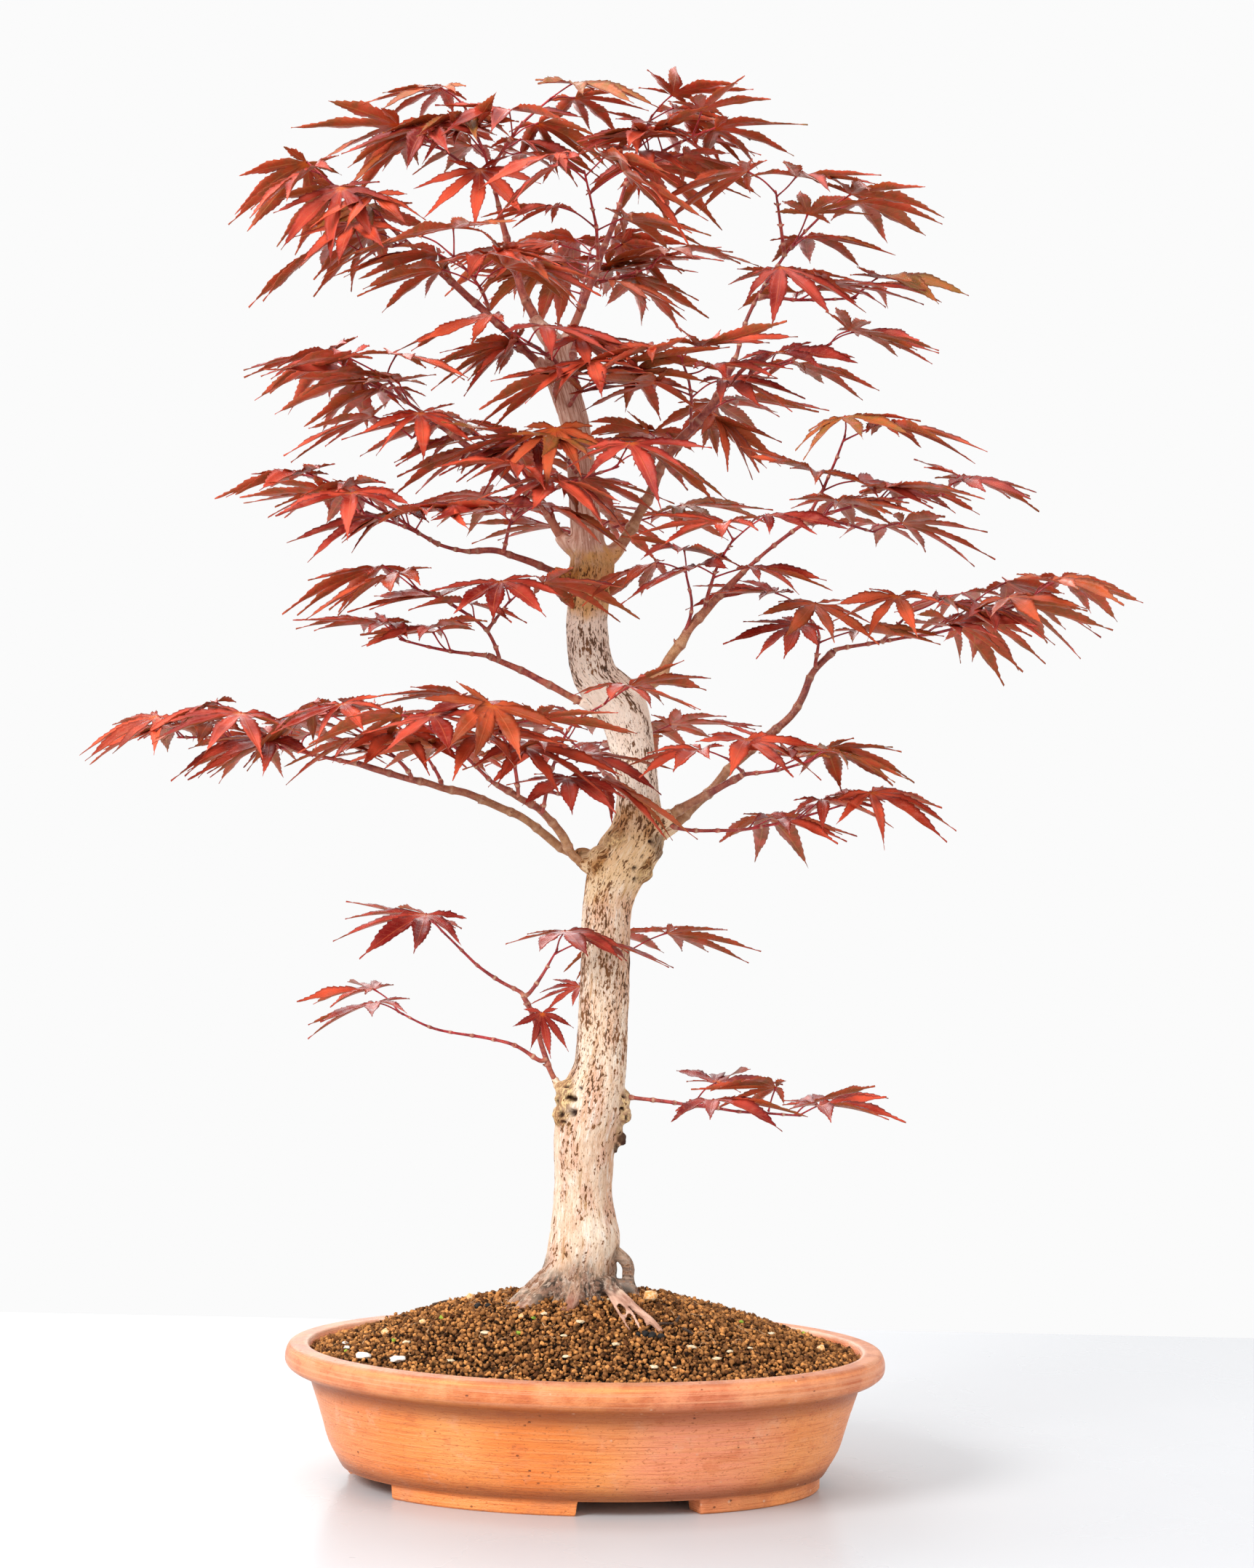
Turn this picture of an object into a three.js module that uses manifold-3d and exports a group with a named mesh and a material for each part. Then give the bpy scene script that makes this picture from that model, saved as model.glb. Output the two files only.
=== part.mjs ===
// A bonsai maple in an oval clay pot, in millimetres. +Z is up and the tree's front faces -Y.
// The pieces are made about the pot's centre, and the whole is centred on its own box at the end.
import * as THREE from "three";
import { mergeVertices } from "three/addons/utils/BufferGeometryUtils.js";
import Module from "manifold-3d";

// Driving dimensions. An inset is measured level, inwards from the outer edge of the pot's rim.
const POT = {
  halfLength: 180, // of the rim along X
  halfWidth: 125.5, // of the rim along Y
  height: 82,
  footHeight: 9,
  footInset: 38.3,
  footWidth: 14,
  floorTop: 19,
  sides: 36,
};
// The wall's outside from the foot up to the rim's flat top, as [inset, height].
const POT_OUTSIDE = [
  [31.5, 15.5],
  [26.2, 25],
  [20.5, 45],
  [15.2, 62.5],
  [4, 66],
  [0, 74.5],
  [2.6, POT.height],
];
// The wall's inside from the rim down to the floor.
const POT_INSIDE = [
  [13.3, POT.height],
  [25.3, 50],
  [47.3, POT.floorTop],
];
// The gaps between the feet, in degrees round the pot from +X, anticlockwise seen from above.
const FOOT_GAPS = [
  { middle: 17, halfAngle: 22 },
  { middle: 104, halfAngle: 15 },
  { middle: 197, halfAngle: 22 },
  { middle: 284, halfAngle: 15 },
];
const DRAIN = { radius: 11, offset: 78, sides: 16 };
const SCREEN = { side: 34, bar: 2, thick: 1.2, openings: 4, room: 5 };
const CLIP = { radius: 0.7, leg: 4, bend: 1.5, reach: 6, sides: 5 };
const SOIL = { edge: 78, rise: 38, power: 1.3, rings: 5 };
const TRUNK_SIDES = 10;
const WOOD_SIDES = 6;
const TWIG = { from: 1.5, to: 0.9, sides: 3 };
const LEAF = {
  length: 60,
  thick: 1.6,
  stalkRadius: 0.6,
  reach: 21, // of the stalk
  notch: 0.2, // from the stalk to where two lobes meet, as a share of the length
  droop: 0.14, // of a lobe's tip, as a share of its length
  heart: 0.04, // of the blade's two corners beside the stalk, as a share of the length
  stagger: 2.4, // between the two leaves of a pair, along the twig
};
const GAP = 0.3; // kept between pieces that touch

const COLOURS = {
  clay: { color: 0xc9713f, roughness: 0.72, metalness: 0 },
  soil: { color: 0x4a2f22, roughness: 0.95, metalness: 0 },
  screen: { color: 0x22261f, roughness: 0.6, metalness: 0 },
  wire: { color: 0xb8b4ad, roughness: 0.35, metalness: 1 },
  trunkBark: { color: 0xcdb597, roughness: 0.85, metalness: 0 },
  limbBark: { color: 0x8a5a43, roughness: 0.7, metalness: 0 },
  redLeaf: { color: 0x7d3230, roughness: 0.5, metalness: 0 },
};

// The trunk's rings [x, y, z, radius], from the buried root crown to the top of the old wood.
const TRUNK = [
  [0, 0, 58, 34],
  [0, 0, 74, 50],
  [0, 0, 96, 44],
  [-1, -2, 110, 33],
  [-1, -1, 120, 27],
  [-1, 0, 136, 21.5],
  [-2, 0, 158, 18.2],
  [-3, 0, 183, 17.6],
  [-3, -1, 206, 18.4],
  [1, -2, 230, 19.6],
  [5, -2, 246, 16],
  [6, -1, 262, 15],
  [7, 0, 300, 14.6],
  [8, 2, 347, 14.8],
  [14, 3, 368, 17.5],
  [23, 4, 384, 17.5],
  [25, 5, 398, 14.5],
  [24, 6, 418, 12.8],
  [20, 5, 442, 13.3],
  [13, 3, 465, 15.2],
  [-3, 0, 483, 13.2],
  [-8, -1, 510, 12.3],
  [-7, -2, 535, 12.4],
  [-6, -2, 547, 13.6],
  [-8, -1, 560, 10.4],
  [-12, 0, 590, 8.6],
  [-16, 1, 625, 8.2],
  [-23, 2, 650, 8.8],
  [-27, 3, 662, 8.6],
  [-31, 4, 680, 6],
];
// The roots that show above the soil, thinning from the first radius to the second.
const ROOTS = [
  limb(9, 4, [-14, -10, 128], [-34, -18, 112], [-52, -24, 96]),
  limb(7, 3, [12, -14, 126], [30, -26, 114], [44, -44, 103], [50, -52, 92]),
  limb(5.5, 5, [17, 2, 140], [29, 2, 130], [34, 0, 116], [40, 4, 98]),
  limb(9, 4, [-6, 16, 124], [-14, 34, 110], [-22, 48, 92]),
  limb(8, 4, [12, 14, 122], [30, 30, 108], [44, 40, 90]),
];
// Each limb is old wood, from inside the trunk to where its leafy sprays begin.
const LIMBS = {
  low_left: limb(
    2.4, 1.8, [-10, -2, 222], [-19, -4, 236], [-27, -6, 253], [-35, -8, 278], [-41, -9, 290],
  ),
  left_pad_inner: limb(
    4.2, 2.2, [8, 0, 362], [-12, -8, 374], [-26, -20, 395], [-39, -30, 405], [-58, -46, 416],
  ),
  left_pad_long: limb(
    3.8, 2.2, [8, 2, 368], [-21, 2, 379], [-39, -4, 393], [-58, -9, 403], [-75, -12, 409],
    [-118, -18, 420], [-142, -22, 427],
  ),
  right_pad: limb(4.8, 2.4, [24, 0, 386], [40, -6, 397], [56, -12, 407], [85, -18, 424]),
  right_arc: limb(
    4.4, 2.4, [26, 8, 384], [44, 12, 392], [60, 14, 406], [80, 16, 430], [118, 18, 464], [129, 18, 488],
    [141, 16, 501],
  ),
  left_mid: limb(3.2, 2.1, [0, 0, 462], [-18, -4, 470], [-40, -8, 481], [-67, -8, 493]),
  right_mid: limb(5.4, 2.4, [12, 0, 468], [34, -6, 482], [46, -10, 500], [60, -14, 520], [84, -16, 545]),
  left_upper_mid: limb(
    3.2, 2.1, [-6, -4, 536], [-22, -8, 542], [-49, -14, 551], [-63, -16, 555], [-78, -16, 554],
  ),
  left_upper: limb(
    4.2, 2.3, [-8, -2, 554], [-22, -4, 562], [-34, -6, 580], [-50, -8, 594], [-91, -14, 624],
  ),
  right_upper: limb(
    5, 2.7, [-4, 2, 548], [10, 4, 560], [24, 4, 583], [38, 2, 615], [63, -2, 644], [77, -6, 673],
  ),
  back_low: limb(4.4, 2.4, [22, 10, 402], [16, 34, 414], [4, 60, 424]),
  back_mid: limb(4.4, 2.4, [-7, 4, 528], [-10, 26, 542], [-12, 52, 556]),
  leader: limb(4.2, 2.1, [-31.5, 4, 682], [-42, 4, 694], [-56, 2, 726], [-66, 0, 762]),
  crown_left: limb(3.8, 2.2, [-26, 0, 656], [-44, -8, 672], [-72, -16, 696], [-108, -22, 726]),
  crown_right: limb(3.8, 2.1, [-29, 6, 674], [-20, 6, 692], [-8, 2, 722], [4, -2, 756]),
  back_upper: limb(3.8, 2.2, [-24, 8, 656], [-22, 26, 672], [-20, 50, 700]),
};
// Each spray is this year's twigs with their leaves. A spray's further twigs start on its first one.
const SPRAYS = {
  low_left_tip: [twig(1, 4, [-42, -9, 292], [-62, -10, 303], [-90, -12, 328])],
  low_left_fork: [twig(1, 6, [-38, -7, 292], [-30, -6, 304], [-22, -12, 318])],
  low_left_lower: [twig(1, 6, [-30, -8, 252], [-47, -12, 262], [-94, -18, 271], [-114, -20, 280])],
  low_right: [twig(2, 2, [14, -3, 232], [66, -8, 227], [86, -10, 225], [124, -12, 223])],
  low_back: [twig(1, 11, [4, 12, 300], [14, 34, 310], [22, 48, 316])],
  left_pad_tip: [
    twig(3, 15, [-144, -22, 427], [-180, -26, 434], [-214, -28, 440], [-246, -28, 440]),
    twig(1, 11, [-180, -26, 434], [-204, -46, 448]),
    twig(2, 11, [-170, -25, 432], [-186, 4, 440]),
  ],
  left_pad_middle: [twig(2, 21, [-110, -20, 420], [-124, -38, 436], [-146, -54, 450])],
  left_pad_back: [twig(2, 11, [-92, -12, 414], [-104, 12, 434], [-122, 36, 450])],
  left_pad_front: [
    twig(2, 22, [-60, -48, 417], [-78, -70, 434], [-96, -92, 448]),
    twig(1, 26, [-78, -70, 434], [-54, -96, 446]),
  ],
  left_pad_inner_top: [twig(2, 11, [-46, -38, 410], [-50, -50, 434], [-64, -58, 458])],
  left_pad_cross: [
    twig(2, 4, [-32, -28, 400], [-26, -46, 426], [-14, -58, 452], [4, -64, 464]),
    twig(1, 20, [-29, -37, 413], [-14, -50, 410]),
  ],
  right_pad_top: [
    twig(2, 6, [87, -19, 425], [106, -22, 428], [126, -24, 434]),
    twig(1, 11, [87, -19, 425], [76, -46, 434]),
  ],
  right_pad_low: [twig(3, 8, [46, -2, 393], [74, 0, 391], [98, 2, 394], [122, 2, 400], [150, 0, 409])],
  right_arc_tip: [
    twig(4, 16, [143, 16, 502], [170, 14, 507], [214, 6, 516], [240, 0, 526], [258, -4, 534]),
    twig(1, 11, [214, 6, 516], [228, 32, 534]),
    twig(1, 30, [170, 14, 507], [184, -14, 524]),
  ],
  right_arc_side: [twig(2, 16, [130, 15, 492], [131, 2, 510], [122, -10, 522])],
  right_mid_tip: [
    twig(3, 11, [86, -17, 547], [120, -22, 574], [160, -26, 588], [200, -28, 592]),
    twig(2, 4, [120, -22, 574], [132, -44, 600], [140, -54, 622]),
    twig(1, 11, [120, -22, 574], [142, 12, 578], [164, 24, 574]),
  ],
  right_mid_front: [twig(2, 11, [62, -17, 524], [68, -46, 546], [76, -68, 560])],
  right_mid_up: [twig(1, 11, [47, -10, 502], [54, -18, 522], [50, -22, 544])],
  left_mid_tip: [twig(2, 4, [-69, -8, 493], [-89, -8, 495], [-118, -8, 501])],
  left_mid_up: [
    twig(2, 6, [-60, -10, 492], [-67, -18, 507], [-88, -26, 522], [-110, -30, 531]),
    twig(1, 11, [-67, -18, 507], [-53, -38, 524]),
  ],
  left_upper_mid_tip: [
    twig(3, 6, [-80, -16, 554], [-97, -16, 558], [-124, -18, 574], [-160, -20, 592]),
    twig(2, 14, [-97, -16, 558], [-116, -46, 566], [-140, -56, 572]),
  ],
  left_upper_mid_front: [
    twig(2, 11, [-58, -18, 555], [-52, -44, 572], [-40, -66, 588]),
    twig(2, 11, [-52, -44, 572], [-22, -62, 590], [8, -70, 600]),
  ],
  left_upper_tip: [
    twig(3, 11, [-93, -14, 625], [-118, -18, 642], [-150, -20, 656]),
    twig(1, 11, [-118, -18, 642], [-128, -50, 652]),
    twig(1, 20, [-100, -15, 631], [-112, -40, 618]),
  ],
  left_upper_back: [twig(2, 11, [-50, -4, 596], [-62, 22, 616], [-84, 40, 634])],
  right_upper_tip: [
    twig(3, 4, [78, -6, 675], [84, -8, 698], [105, -12, 734], [130, -16, 762]),
    twig(2, 4, [90, -10, 710], [118, 0, 710], [148, 4, 712]),
    twig(1, 12, [105, -12, 734], [98, -38, 766]),
  ],
  right_upper_side: [twig(2, 11, [70, -5, 656], [100, -14, 668], [132, -22, 680])],
  right_upper_front: [twig(2, 11, [52, -2, 632], [50, -34, 652], [44, -58, 666])],
  right_upper_back: [twig(2, 11, [34, 6, 606], [46, 32, 630], [66, 50, 650])],
  leader_tip: [
    twig(3, 11, [-66.5, 0, 764], [-74, -2, 790], [-88, -4, 822]),
    twig(1, 16, [-70, -1, 776], [-104, -22, 794]),
    twig(2, 4, [-72, -1, 782], [-54, -10, 808], [-36, -14, 824]),
  ],
  crown_left_tip: [
    twig(3, 30, [-109, -22, 727], [-134, -26, 748], [-166, -28, 770]),
    twig(1, 36, [-118, -24, 734], [-146, -34, 728]),
  ],
  crown_left_front: [twig(2, 11, [-70, -18, 697], [-78, -44, 712], [-90, -60, 722])],
  crown_right_tip: [
    twig(3, 11, [4.5, -2, 758], [14, -4, 790], [24, -6, 816]),
    twig(2, 11, [10, -3, 776], [32, -26, 792], [48, -36, 798]),
  ],
  crown_right_front: [twig(2, 11, [-6, 0, 726], [-8, -32, 750], [-14, -56, 772])],
  back_upper_tip: [
    twig(3, 11, [-20, 52, 701], [-16, 80, 728], [-12, 104, 756]),
    twig(1, 11, [-16, 80, 728], [-52, 92, 744]),
    twig(1, 11, [-16, 80, 728], [26, 86, 742]),
  ],
  back_mid_tip: [
    twig(2, 11, [-12, 54, 557], [-14, 80, 572], [-18, 106, 584]),
    twig(1, 11, [-14, 80, 572], [-56, 90, 586]),
    twig(1, 11, [-14, 80, 572], [30, 90, 586]),
  ],
  back_low_tip: [
    twig(2, 11, [3, 62, 425], [-8, 84, 436], [-20, 104, 446]),
    twig(1, 11, [-8, 84, 436], [26, 92, 446]),
  ],
};
// The five lobes of a leaf: degrees from the middle one, and share of the leaf's length.
const LOBES = [
  { angle: -72, length: 0.62 },
  { angle: -35, length: 0.9 },
  { angle: 0, length: 1 },
  { angle: 35, length: 0.9 },
  { angle: 72, length: 0.62 },
];

function limb(from, to, ...route) {
  return { from, to, route };
}

// A twig carries a number of leaf pairs, and their blades droop by some degrees.
function twig(pairs, droop, ...route) {
  return { pairs, droop, route };
}

const wasm = await Module();
wasm.setup();

const { degToRad } = THREE.MathUtils;

// A repeatable scatter between -1 and 1 for any number.
function scatter(n) {
  const wave = Math.sin(n * 12.9898 + 4.137) * 43758.5453;
  return 2 * (wave - Math.floor(wave)) - 1;
}

function mix(a, b, t) {
  return a + (b - a) * t;
}

// ---- Solids: a closed geometry as a manifold, and back again.
function solidOf(geometry) {
  const bare = geometry.clone();
  bare.deleteAttribute("normal");
  bare.deleteAttribute("uv");
  const merged = mergeVertices(bare, 1e-4);
  return new wasm.Manifold(
    new wasm.Mesh({
      numProp: 3,
      vertProperties: new Float32Array(merged.attributes.position.array),
      triVerts: new Uint32Array(merged.index.array),
    }),
  );
}

function geometryOf(solid) {
  const mesh = solid.getMesh();
  const geometry = new THREE.BufferGeometry();
  geometry.setAttribute("position", new THREE.BufferAttribute(mesh.vertProperties, 3));
  geometry.setIndex(new THREE.BufferAttribute(mesh.triVerts, 1));
  geometry.computeVertexNormals();
  return geometry;
}

// The largest single body of a solid that a cut may have left in pieces.
function mainBody(solid) {
  return solid.decompose().reduce((best, body) => (body.volume() > best.volume() ? body : best));
}

// A straight line between two points, or a smooth curve through more.
function curveThrough(points) {
  const knots = points.map((point) => new THREE.Vector3(...point));
  return knots.length > 2 ? new THREE.CatmullRomCurve3(knots) : new THREE.LineCurve3(...knots);
}

// A round stem along a route, thinning evenly from its first radius to its last.
function stem({ route, from, to }, sides, grown = 0) {
  const curve = curveThrough(route);
  const rows = route.length - 1;
  const frames = curve.computeFrenetFrames(rows, false);
  const geometry = new THREE.CylinderGeometry(1, 1, 1, sides, rows);
  const place = geometry.attributes.position;
  const vertex = new THREE.Vector3();
  for (let i = 0; i < place.count; i++) {
    const row = Math.round((place.getY(i) + 0.5) * rows);
    const radius = mix(from, to, row / rows) + grown;
    vertex.copy(curve.getPointAt(row / rows));
    vertex.addScaledVector(frames.normals[row], place.getX(i) * radius);
    vertex.addScaledVector(frames.binormals[row], -place.getZ(i) * radius);
    place.setXYZ(i, vertex.x, vertex.y, vertex.z);
  }
  return solidOf(geometry);
}

// ---- The pot.
// The rim and every line below it run parallel, so an inset moves both half-axes in by the same amount.
// Inside the foot ring the oval shrinks evenly to the centre.
function ovalPoint(radius, angle) {
  const evenFrom = 118;
  const difference = POT.halfLength - POT.halfWidth;
  const across = radius > evenFrom ? radius - difference : (radius * (evenFrom - difference)) / evenFrom;
  return [radius * Math.cos(angle), across * Math.sin(angle)];
}

// Turns a profile of [inset, height] points into an oval solid of revolution.
function ovalTurned(profile) {
  const points = profile.map(([inset, height]) => new THREE.Vector2(POT.halfLength - inset, height));
  const geometry = new THREE.LatheGeometry(points, POT.sides);
  geometry.rotateX(Math.PI / 2);
  const place = geometry.attributes.position;
  for (let i = 0; i < place.count; i++) {
    const angle = Math.atan2(place.getY(i), place.getX(i));
    const [x, y] = ovalPoint(Math.hypot(place.getX(i), place.getY(i)), angle);
    place.setXYZ(i, x, y, place.getZ(i));
  }
  return solidOf(geometry);
}

function makePot() {
  const toCentre = POT.halfLength;
  let pot = ovalTurned([
    [toCentre, POT.footHeight],
    [POT.footInset + POT.footWidth, POT.footHeight],
    [POT.footInset + POT.footWidth, 0],
    [POT.footInset, 0],
    [POT.footInset, POT.footHeight],
    ...POT_OUTSIDE,
    ...POT_INSIDE,
    [toCentre, POT.floorTop],
  ]);
  for (const gap of FOOT_GAPS) pot = pot.subtract(footGap(gap));
  for (const side of [-1, 1]) pot = pot.subtract(drainHole(side));
  return pot;
}

// A block that takes away the foot ring between two directions from the centre.
function footGap({ middle, halfAngle }) {
  const past = 9; // the block's reach beyond the foot, on both sides of it
  const bulge = 3; // what its flat outer face needs more in the middle
  const corner = (inset, degrees) => {
    return new THREE.Vector2(...ovalPoint(POT.halfLength - inset, degToRad(degrees)));
  };
  const outer = POT.footInset - past;
  const inner = POT.footInset + POT.footWidth + past;
  const outline = new THREE.Shape([
    corner(outer, middle - halfAngle),
    corner(outer - bulge, middle),
    corner(outer, middle + halfAngle),
    corner(inner, middle + halfAngle),
    corner(inner, middle - halfAngle),
  ]);
  const block = new THREE.ExtrudeGeometry(outline, { depth: 2 * POT.footHeight, bevelEnabled: false });
  block.translate(0, 0, -POT.footHeight);
  return solidOf(block);
}

function drainHole(side) {
  const hole = new THREE.CylinderGeometry(DRAIN.radius, DRAIN.radius, 2 * POT.floorTop, DRAIN.sides);
  hole.rotateX(Math.PI / 2);
  hole.translate(side * DRAIN.offset, 0, POT.floorTop);
  return solidOf(hole);
}

// ---- What lies over the drain holes: a square of plastic mesh held by a bent wire.
function makeScreen(side) {
  const block = (x, y, size, depth) => {
    const box = new THREE.BoxGeometry(size, size, depth);
    box.translate(side * DRAIN.offset + x, y, POT.floorTop + GAP + SCREEN.thick / 2);
    return solidOf(box);
  };
  const pitch = (SCREEN.side - SCREEN.bar) / SCREEN.openings;
  const firstMiddle = (pitch - SCREEN.side + SCREEN.bar) / 2;
  const through = 3 * SCREEN.thick;
  let screen = block(0, 0, SCREEN.side, SCREEN.thick);
  for (let row = 0; row < SCREEN.openings; row++) {
    for (let column = 0; column < SCREEN.openings; column++) {
      const x = firstMiddle + column * pitch;
      const y = firstMiddle + row * pitch;
      screen = screen.subtract(block(x, y, pitch - SCREEN.bar, through));
    }
  }
  return screen;
}

// The wire crosses the mesh, goes down through two of its openings and spreads out under the pot.
function makeClip(side) {
  const over = POT.floorTop + SCREEN.thick + CLIP.radius + 3 * GAP;
  const under = POT.footHeight - GAP - CLIP.radius;
  const halfWire = [
    [0, over],
    [CLIP.leg - CLIP.bend, over],
    [CLIP.leg, over - CLIP.bend],
    [CLIP.leg, under + CLIP.bend],
    [CLIP.leg + CLIP.bend, under],
    [DRAIN.radius + CLIP.reach, under],
  ];
  const otherHalf = halfWire.slice(1).reverse().map(([x, z]) => [-x, z]);
  const route = [...otherHalf, ...halfWire].map(([x, z]) => [side * DRAIN.offset + x, CLIP.leg, z]);
  return stem({ route, from: CLIP.radius, to: CLIP.radius }, CLIP.sides);
}

// ---- The trunk with the roots that show.
function makeTrunk(grown = 0) {
  const profile = TRUNK.map(([, , z, radius]) => new THREE.Vector2(radius + grown, z));
  profile.unshift(new THREE.Vector2(0, TRUNK.at(0)[2] - grown));
  profile.push(new THREE.Vector2(0, TRUNK.at(-1)[2] + grown + 1));
  const geometry = new THREE.LatheGeometry(profile, TRUNK_SIDES);
  geometry.rotateX(Math.PI / 2);
  const place = geometry.attributes.position;
  for (let i = 0; i < place.count; i++) {
    const [x, y] = trunkCentre(place.getZ(i));
    place.setXYZ(i, place.getX(i) + x, place.getY(i) + y, place.getZ(i));
  }
  return ROOTS.reduce((trunk, root) => trunk.add(stem(root, WOOD_SIDES, grown)), solidOf(geometry));
}

function trunkCentre(z) {
  if (z <= TRUNK.at(0)[2]) return TRUNK.at(0);
  if (z >= TRUNK.at(-1)[2]) return TRUNK.at(-1);
  const above = TRUNK.findIndex((ring) => ring[2] > z);
  const low = TRUNK[above - 1];
  const high = TRUNK[above];
  const t = (z - low[2]) / (high[2] - low[2]);
  return [mix(low[0], high[0], t), mix(low[1], high[1], t)];
}

// ---- The soil: it fills the pot, and rises in a mound to the trunk.
function makeSoil() {
  const toCentre = POT.halfLength;
  const [rim, shoulder, corner] = POT_INSIDE;
  const clear = 0.5; // of the pot's wall, measured level
  const depth = (rim[1] - SOIL.edge) / (rim[1] - shoulder[1]);
  const edge = mix(rim[0], shoulder[0], depth) + clear;
  const profile = [
    [toCentre, corner[1] + GAP],
    [corner[0] + clear, corner[1] + GAP],
    [shoulder[0] + clear, shoulder[1]],
    [edge, SOIL.edge],
  ];
  for (let ring = 1; ring <= SOIL.rings; ring++) {
    const out = 1 - ring / SOIL.rings;
    const height = SOIL.edge + SOIL.rise * (1 - out ** 2) ** SOIL.power;
    profile.push([toCentre - (toCentre - edge) * out, height]);
  }
  let soil = ovalTurned(profile);
  for (const side of [-1, 1]) soil = soil.subtract(screenRoom(side));
  return mainBody(soil.subtract(makeTrunk(GAP)));
}

// The room that a drain screen and its clip take up under the soil.
function screenRoom(side) {
  const room = new THREE.BoxGeometry(SCREEN.side + 2 * GAP, SCREEN.side + 2 * GAP, SCREEN.room);
  room.translate(side * DRAIN.offset, 0, POT.floorTop + SCREEN.room / 2);
  return solidOf(room);
}

// ---- Leaves.
// The edge of a blade in its own frame, from the right of the stalk round the lobes to its left. The stalk
// joins at the origin, the middle lobe points along +X and +Z is up.
function bladeEdge(length) {
  const heart = LEAF.heart * length;
  const edge = [[-heart, -heart, 0]];
  const add = (degrees, reach, fall) => {
    const angle = degToRad(degrees);
    edge.push([reach * length * Math.cos(angle), reach * length * Math.sin(angle), -fall * length]);
  };
  LOBES.forEach((lobe, i) => {
    add(lobe.angle, lobe.length, LEAF.droop * lobe.length);
    const next = LOBES[i + 1];
    if (next) add((lobe.angle + next.angle) / 2, LEAF.notch, 0);
  });
  edge.push([-heart, heart, 0]);
  return edge;
}

// A leaf with its stalk, as one thin closed skin: the blade is a lens with one raised point above and one
// below, and the stalk runs from there back to the twig as a three-sided bar.
function leafSolid(leaf, grown = 0) {
  const length = leaf.length + 2 * grown;
  const half = LEAF.thick / 2 + grown;
  const raised = 0.1 * length; // how far along the blade it is thickest
  const turn = new THREE.Euler(leaf.roll, leaf.droop, leaf.heading, "ZYX");
  const place = (point) => new THREE.Vector3(...point).applyEuler(turn).add(leaf.end);
  const edge = bladeEdge(length).map(place);
  const sideways = new THREE.Vector3(-Math.sin(leaf.heading), Math.cos(leaf.heading), 0);
  const radius = LEAF.stalkRadius + grown;
  const atTwig = (across, up) => {
    const point = leaf.node.clone().addScaledVector(sideways, across * radius);
    return point.setZ(leaf.node.z + up * radius);
  };
  const corners = [
    ...edge,
    place([raised, 0, half]),
    place([raised, 0, -half]),
    atTwig(-1, -0.6),
    atTwig(1, -0.6),
    atTwig(0, 1.2),
  ];
  const last = edge.length - 1;
  const [top, under, right, left, ridge] = [1, 2, 3, 4, 5].map((n) => last + n);
  const faces = [
    [right, 0, top, right, top, ridge],
    [last, left, ridge, last, ridge, top],
    [0, right, under, right, left, under, left, last, under],
    [right, ridge, left],
  ].flat();
  for (let i = 0; i < last; i++) faces.push(i, i + 1, top, i + 1, i, under);
  const geometry = new THREE.BufferGeometry().setFromPoints(corners);
  geometry.setIndex(faces);
  return solidOf(geometry);
}

// The leaf pairs of a twig. Each leaf: its place on the twig, the end of its stalk, its turns and its size.
// Towards the twig's tip the pairs point more and more forwards, from 78 to 46 degrees off its course.
function leavesOn({ route, pairs, droop }, seed) {
  const curve = curveThrough(route);
  const leaves = [];
  for (let pair = 0; pair < pairs; pair++) {
    const along = pairs === 1 ? 1 : mix(0.45, 1, pair / (pairs - 1));
    const tangent = curve.getTangentAt(along);
    const course = Math.atan2(tangent.y, tangent.x);
    for (const side of [-1, 1]) {
      const node = curve.getPointAt(side < 0 ? along : along - LEAF.stagger / curve.getLength());
      const n = seed + pair * 2.7 + side * 0.6;
      const heading = course + side * degToRad(mix(78, 46, along) + 12 * scatter(n));
      const rise = 0.48 + 0.22 * scatter(n + 23);
      const stalk = new THREE.Vector3(Math.cos(heading), Math.sin(heading), rise);
      stalk.setLength(LEAF.reach + 6 * scatter(n + 11));
      leaves.push({
        node,
        end: stalk.add(node),
        heading: heading + 0.2 * scatter(n + 31),
        droop: degToRad(droop + 12 * scatter(n + 41)),
        roll: degToRad(14 * scatter(n + 53)),
        length: LEAF.length * (0.94 + 0.12 * scatter(n + 61)),
      });
    }
  }
  return leaves;
}

// ---- Assembly. Every solid made so far is kept, so that a new one can be kept clear of it.
const bonsai = new THREE.Group();
bonsai.name = "bonsai";
const placed = [];

function addPiece(name, solid, colour) {
  const piece = new THREE.Mesh(geometryOf(solid), new THREE.MeshStandardMaterial(COLOURS[colour]));
  piece.name = name;
  bonsai.add(piece);
}

function keep(name, solid, colour) {
  placed.push({ name, solid });
  addPiece(name, solid, colour);
}

// Adds the leaf as it is, or else raised, lowered or turned by growing steps, until it is clear of every
// other piece and of its own spray's other blades. A leaf that finds no room is left out.
function addLeaf(leaf, spray) {
  const tries = 14;
  const touch = 0.02; // what two stalks may share where they leave the same node, in cubic millimetres
  for (let step = 0; step < tries; step++) {
    const way = step % 2 ? -step : step;
    const tried = {
      ...leaf,
      end: leaf.end.clone().setZ(leaf.end.z + way * 1.5),
      droop: leaf.droop + way * 0.03,
      heading: leaf.heading - way * 0.05,
    };
    const room = leafSolid(tried, GAP);
    if (placed.some((other) => other !== spray && other.solid.intersect(room).volume() > 0)) continue;
    if (spray.leaves.some((other) => other.intersect(room).volume() > touch)) continue;
    const fitted = leafSolid(tried);
    const joined = spray.solid.add(fitted);
    if (joined.decompose().length > 1) continue;
    spray.leaves.push(fitted);
    spray.solid = joined;
    return;
  }
}

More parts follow.
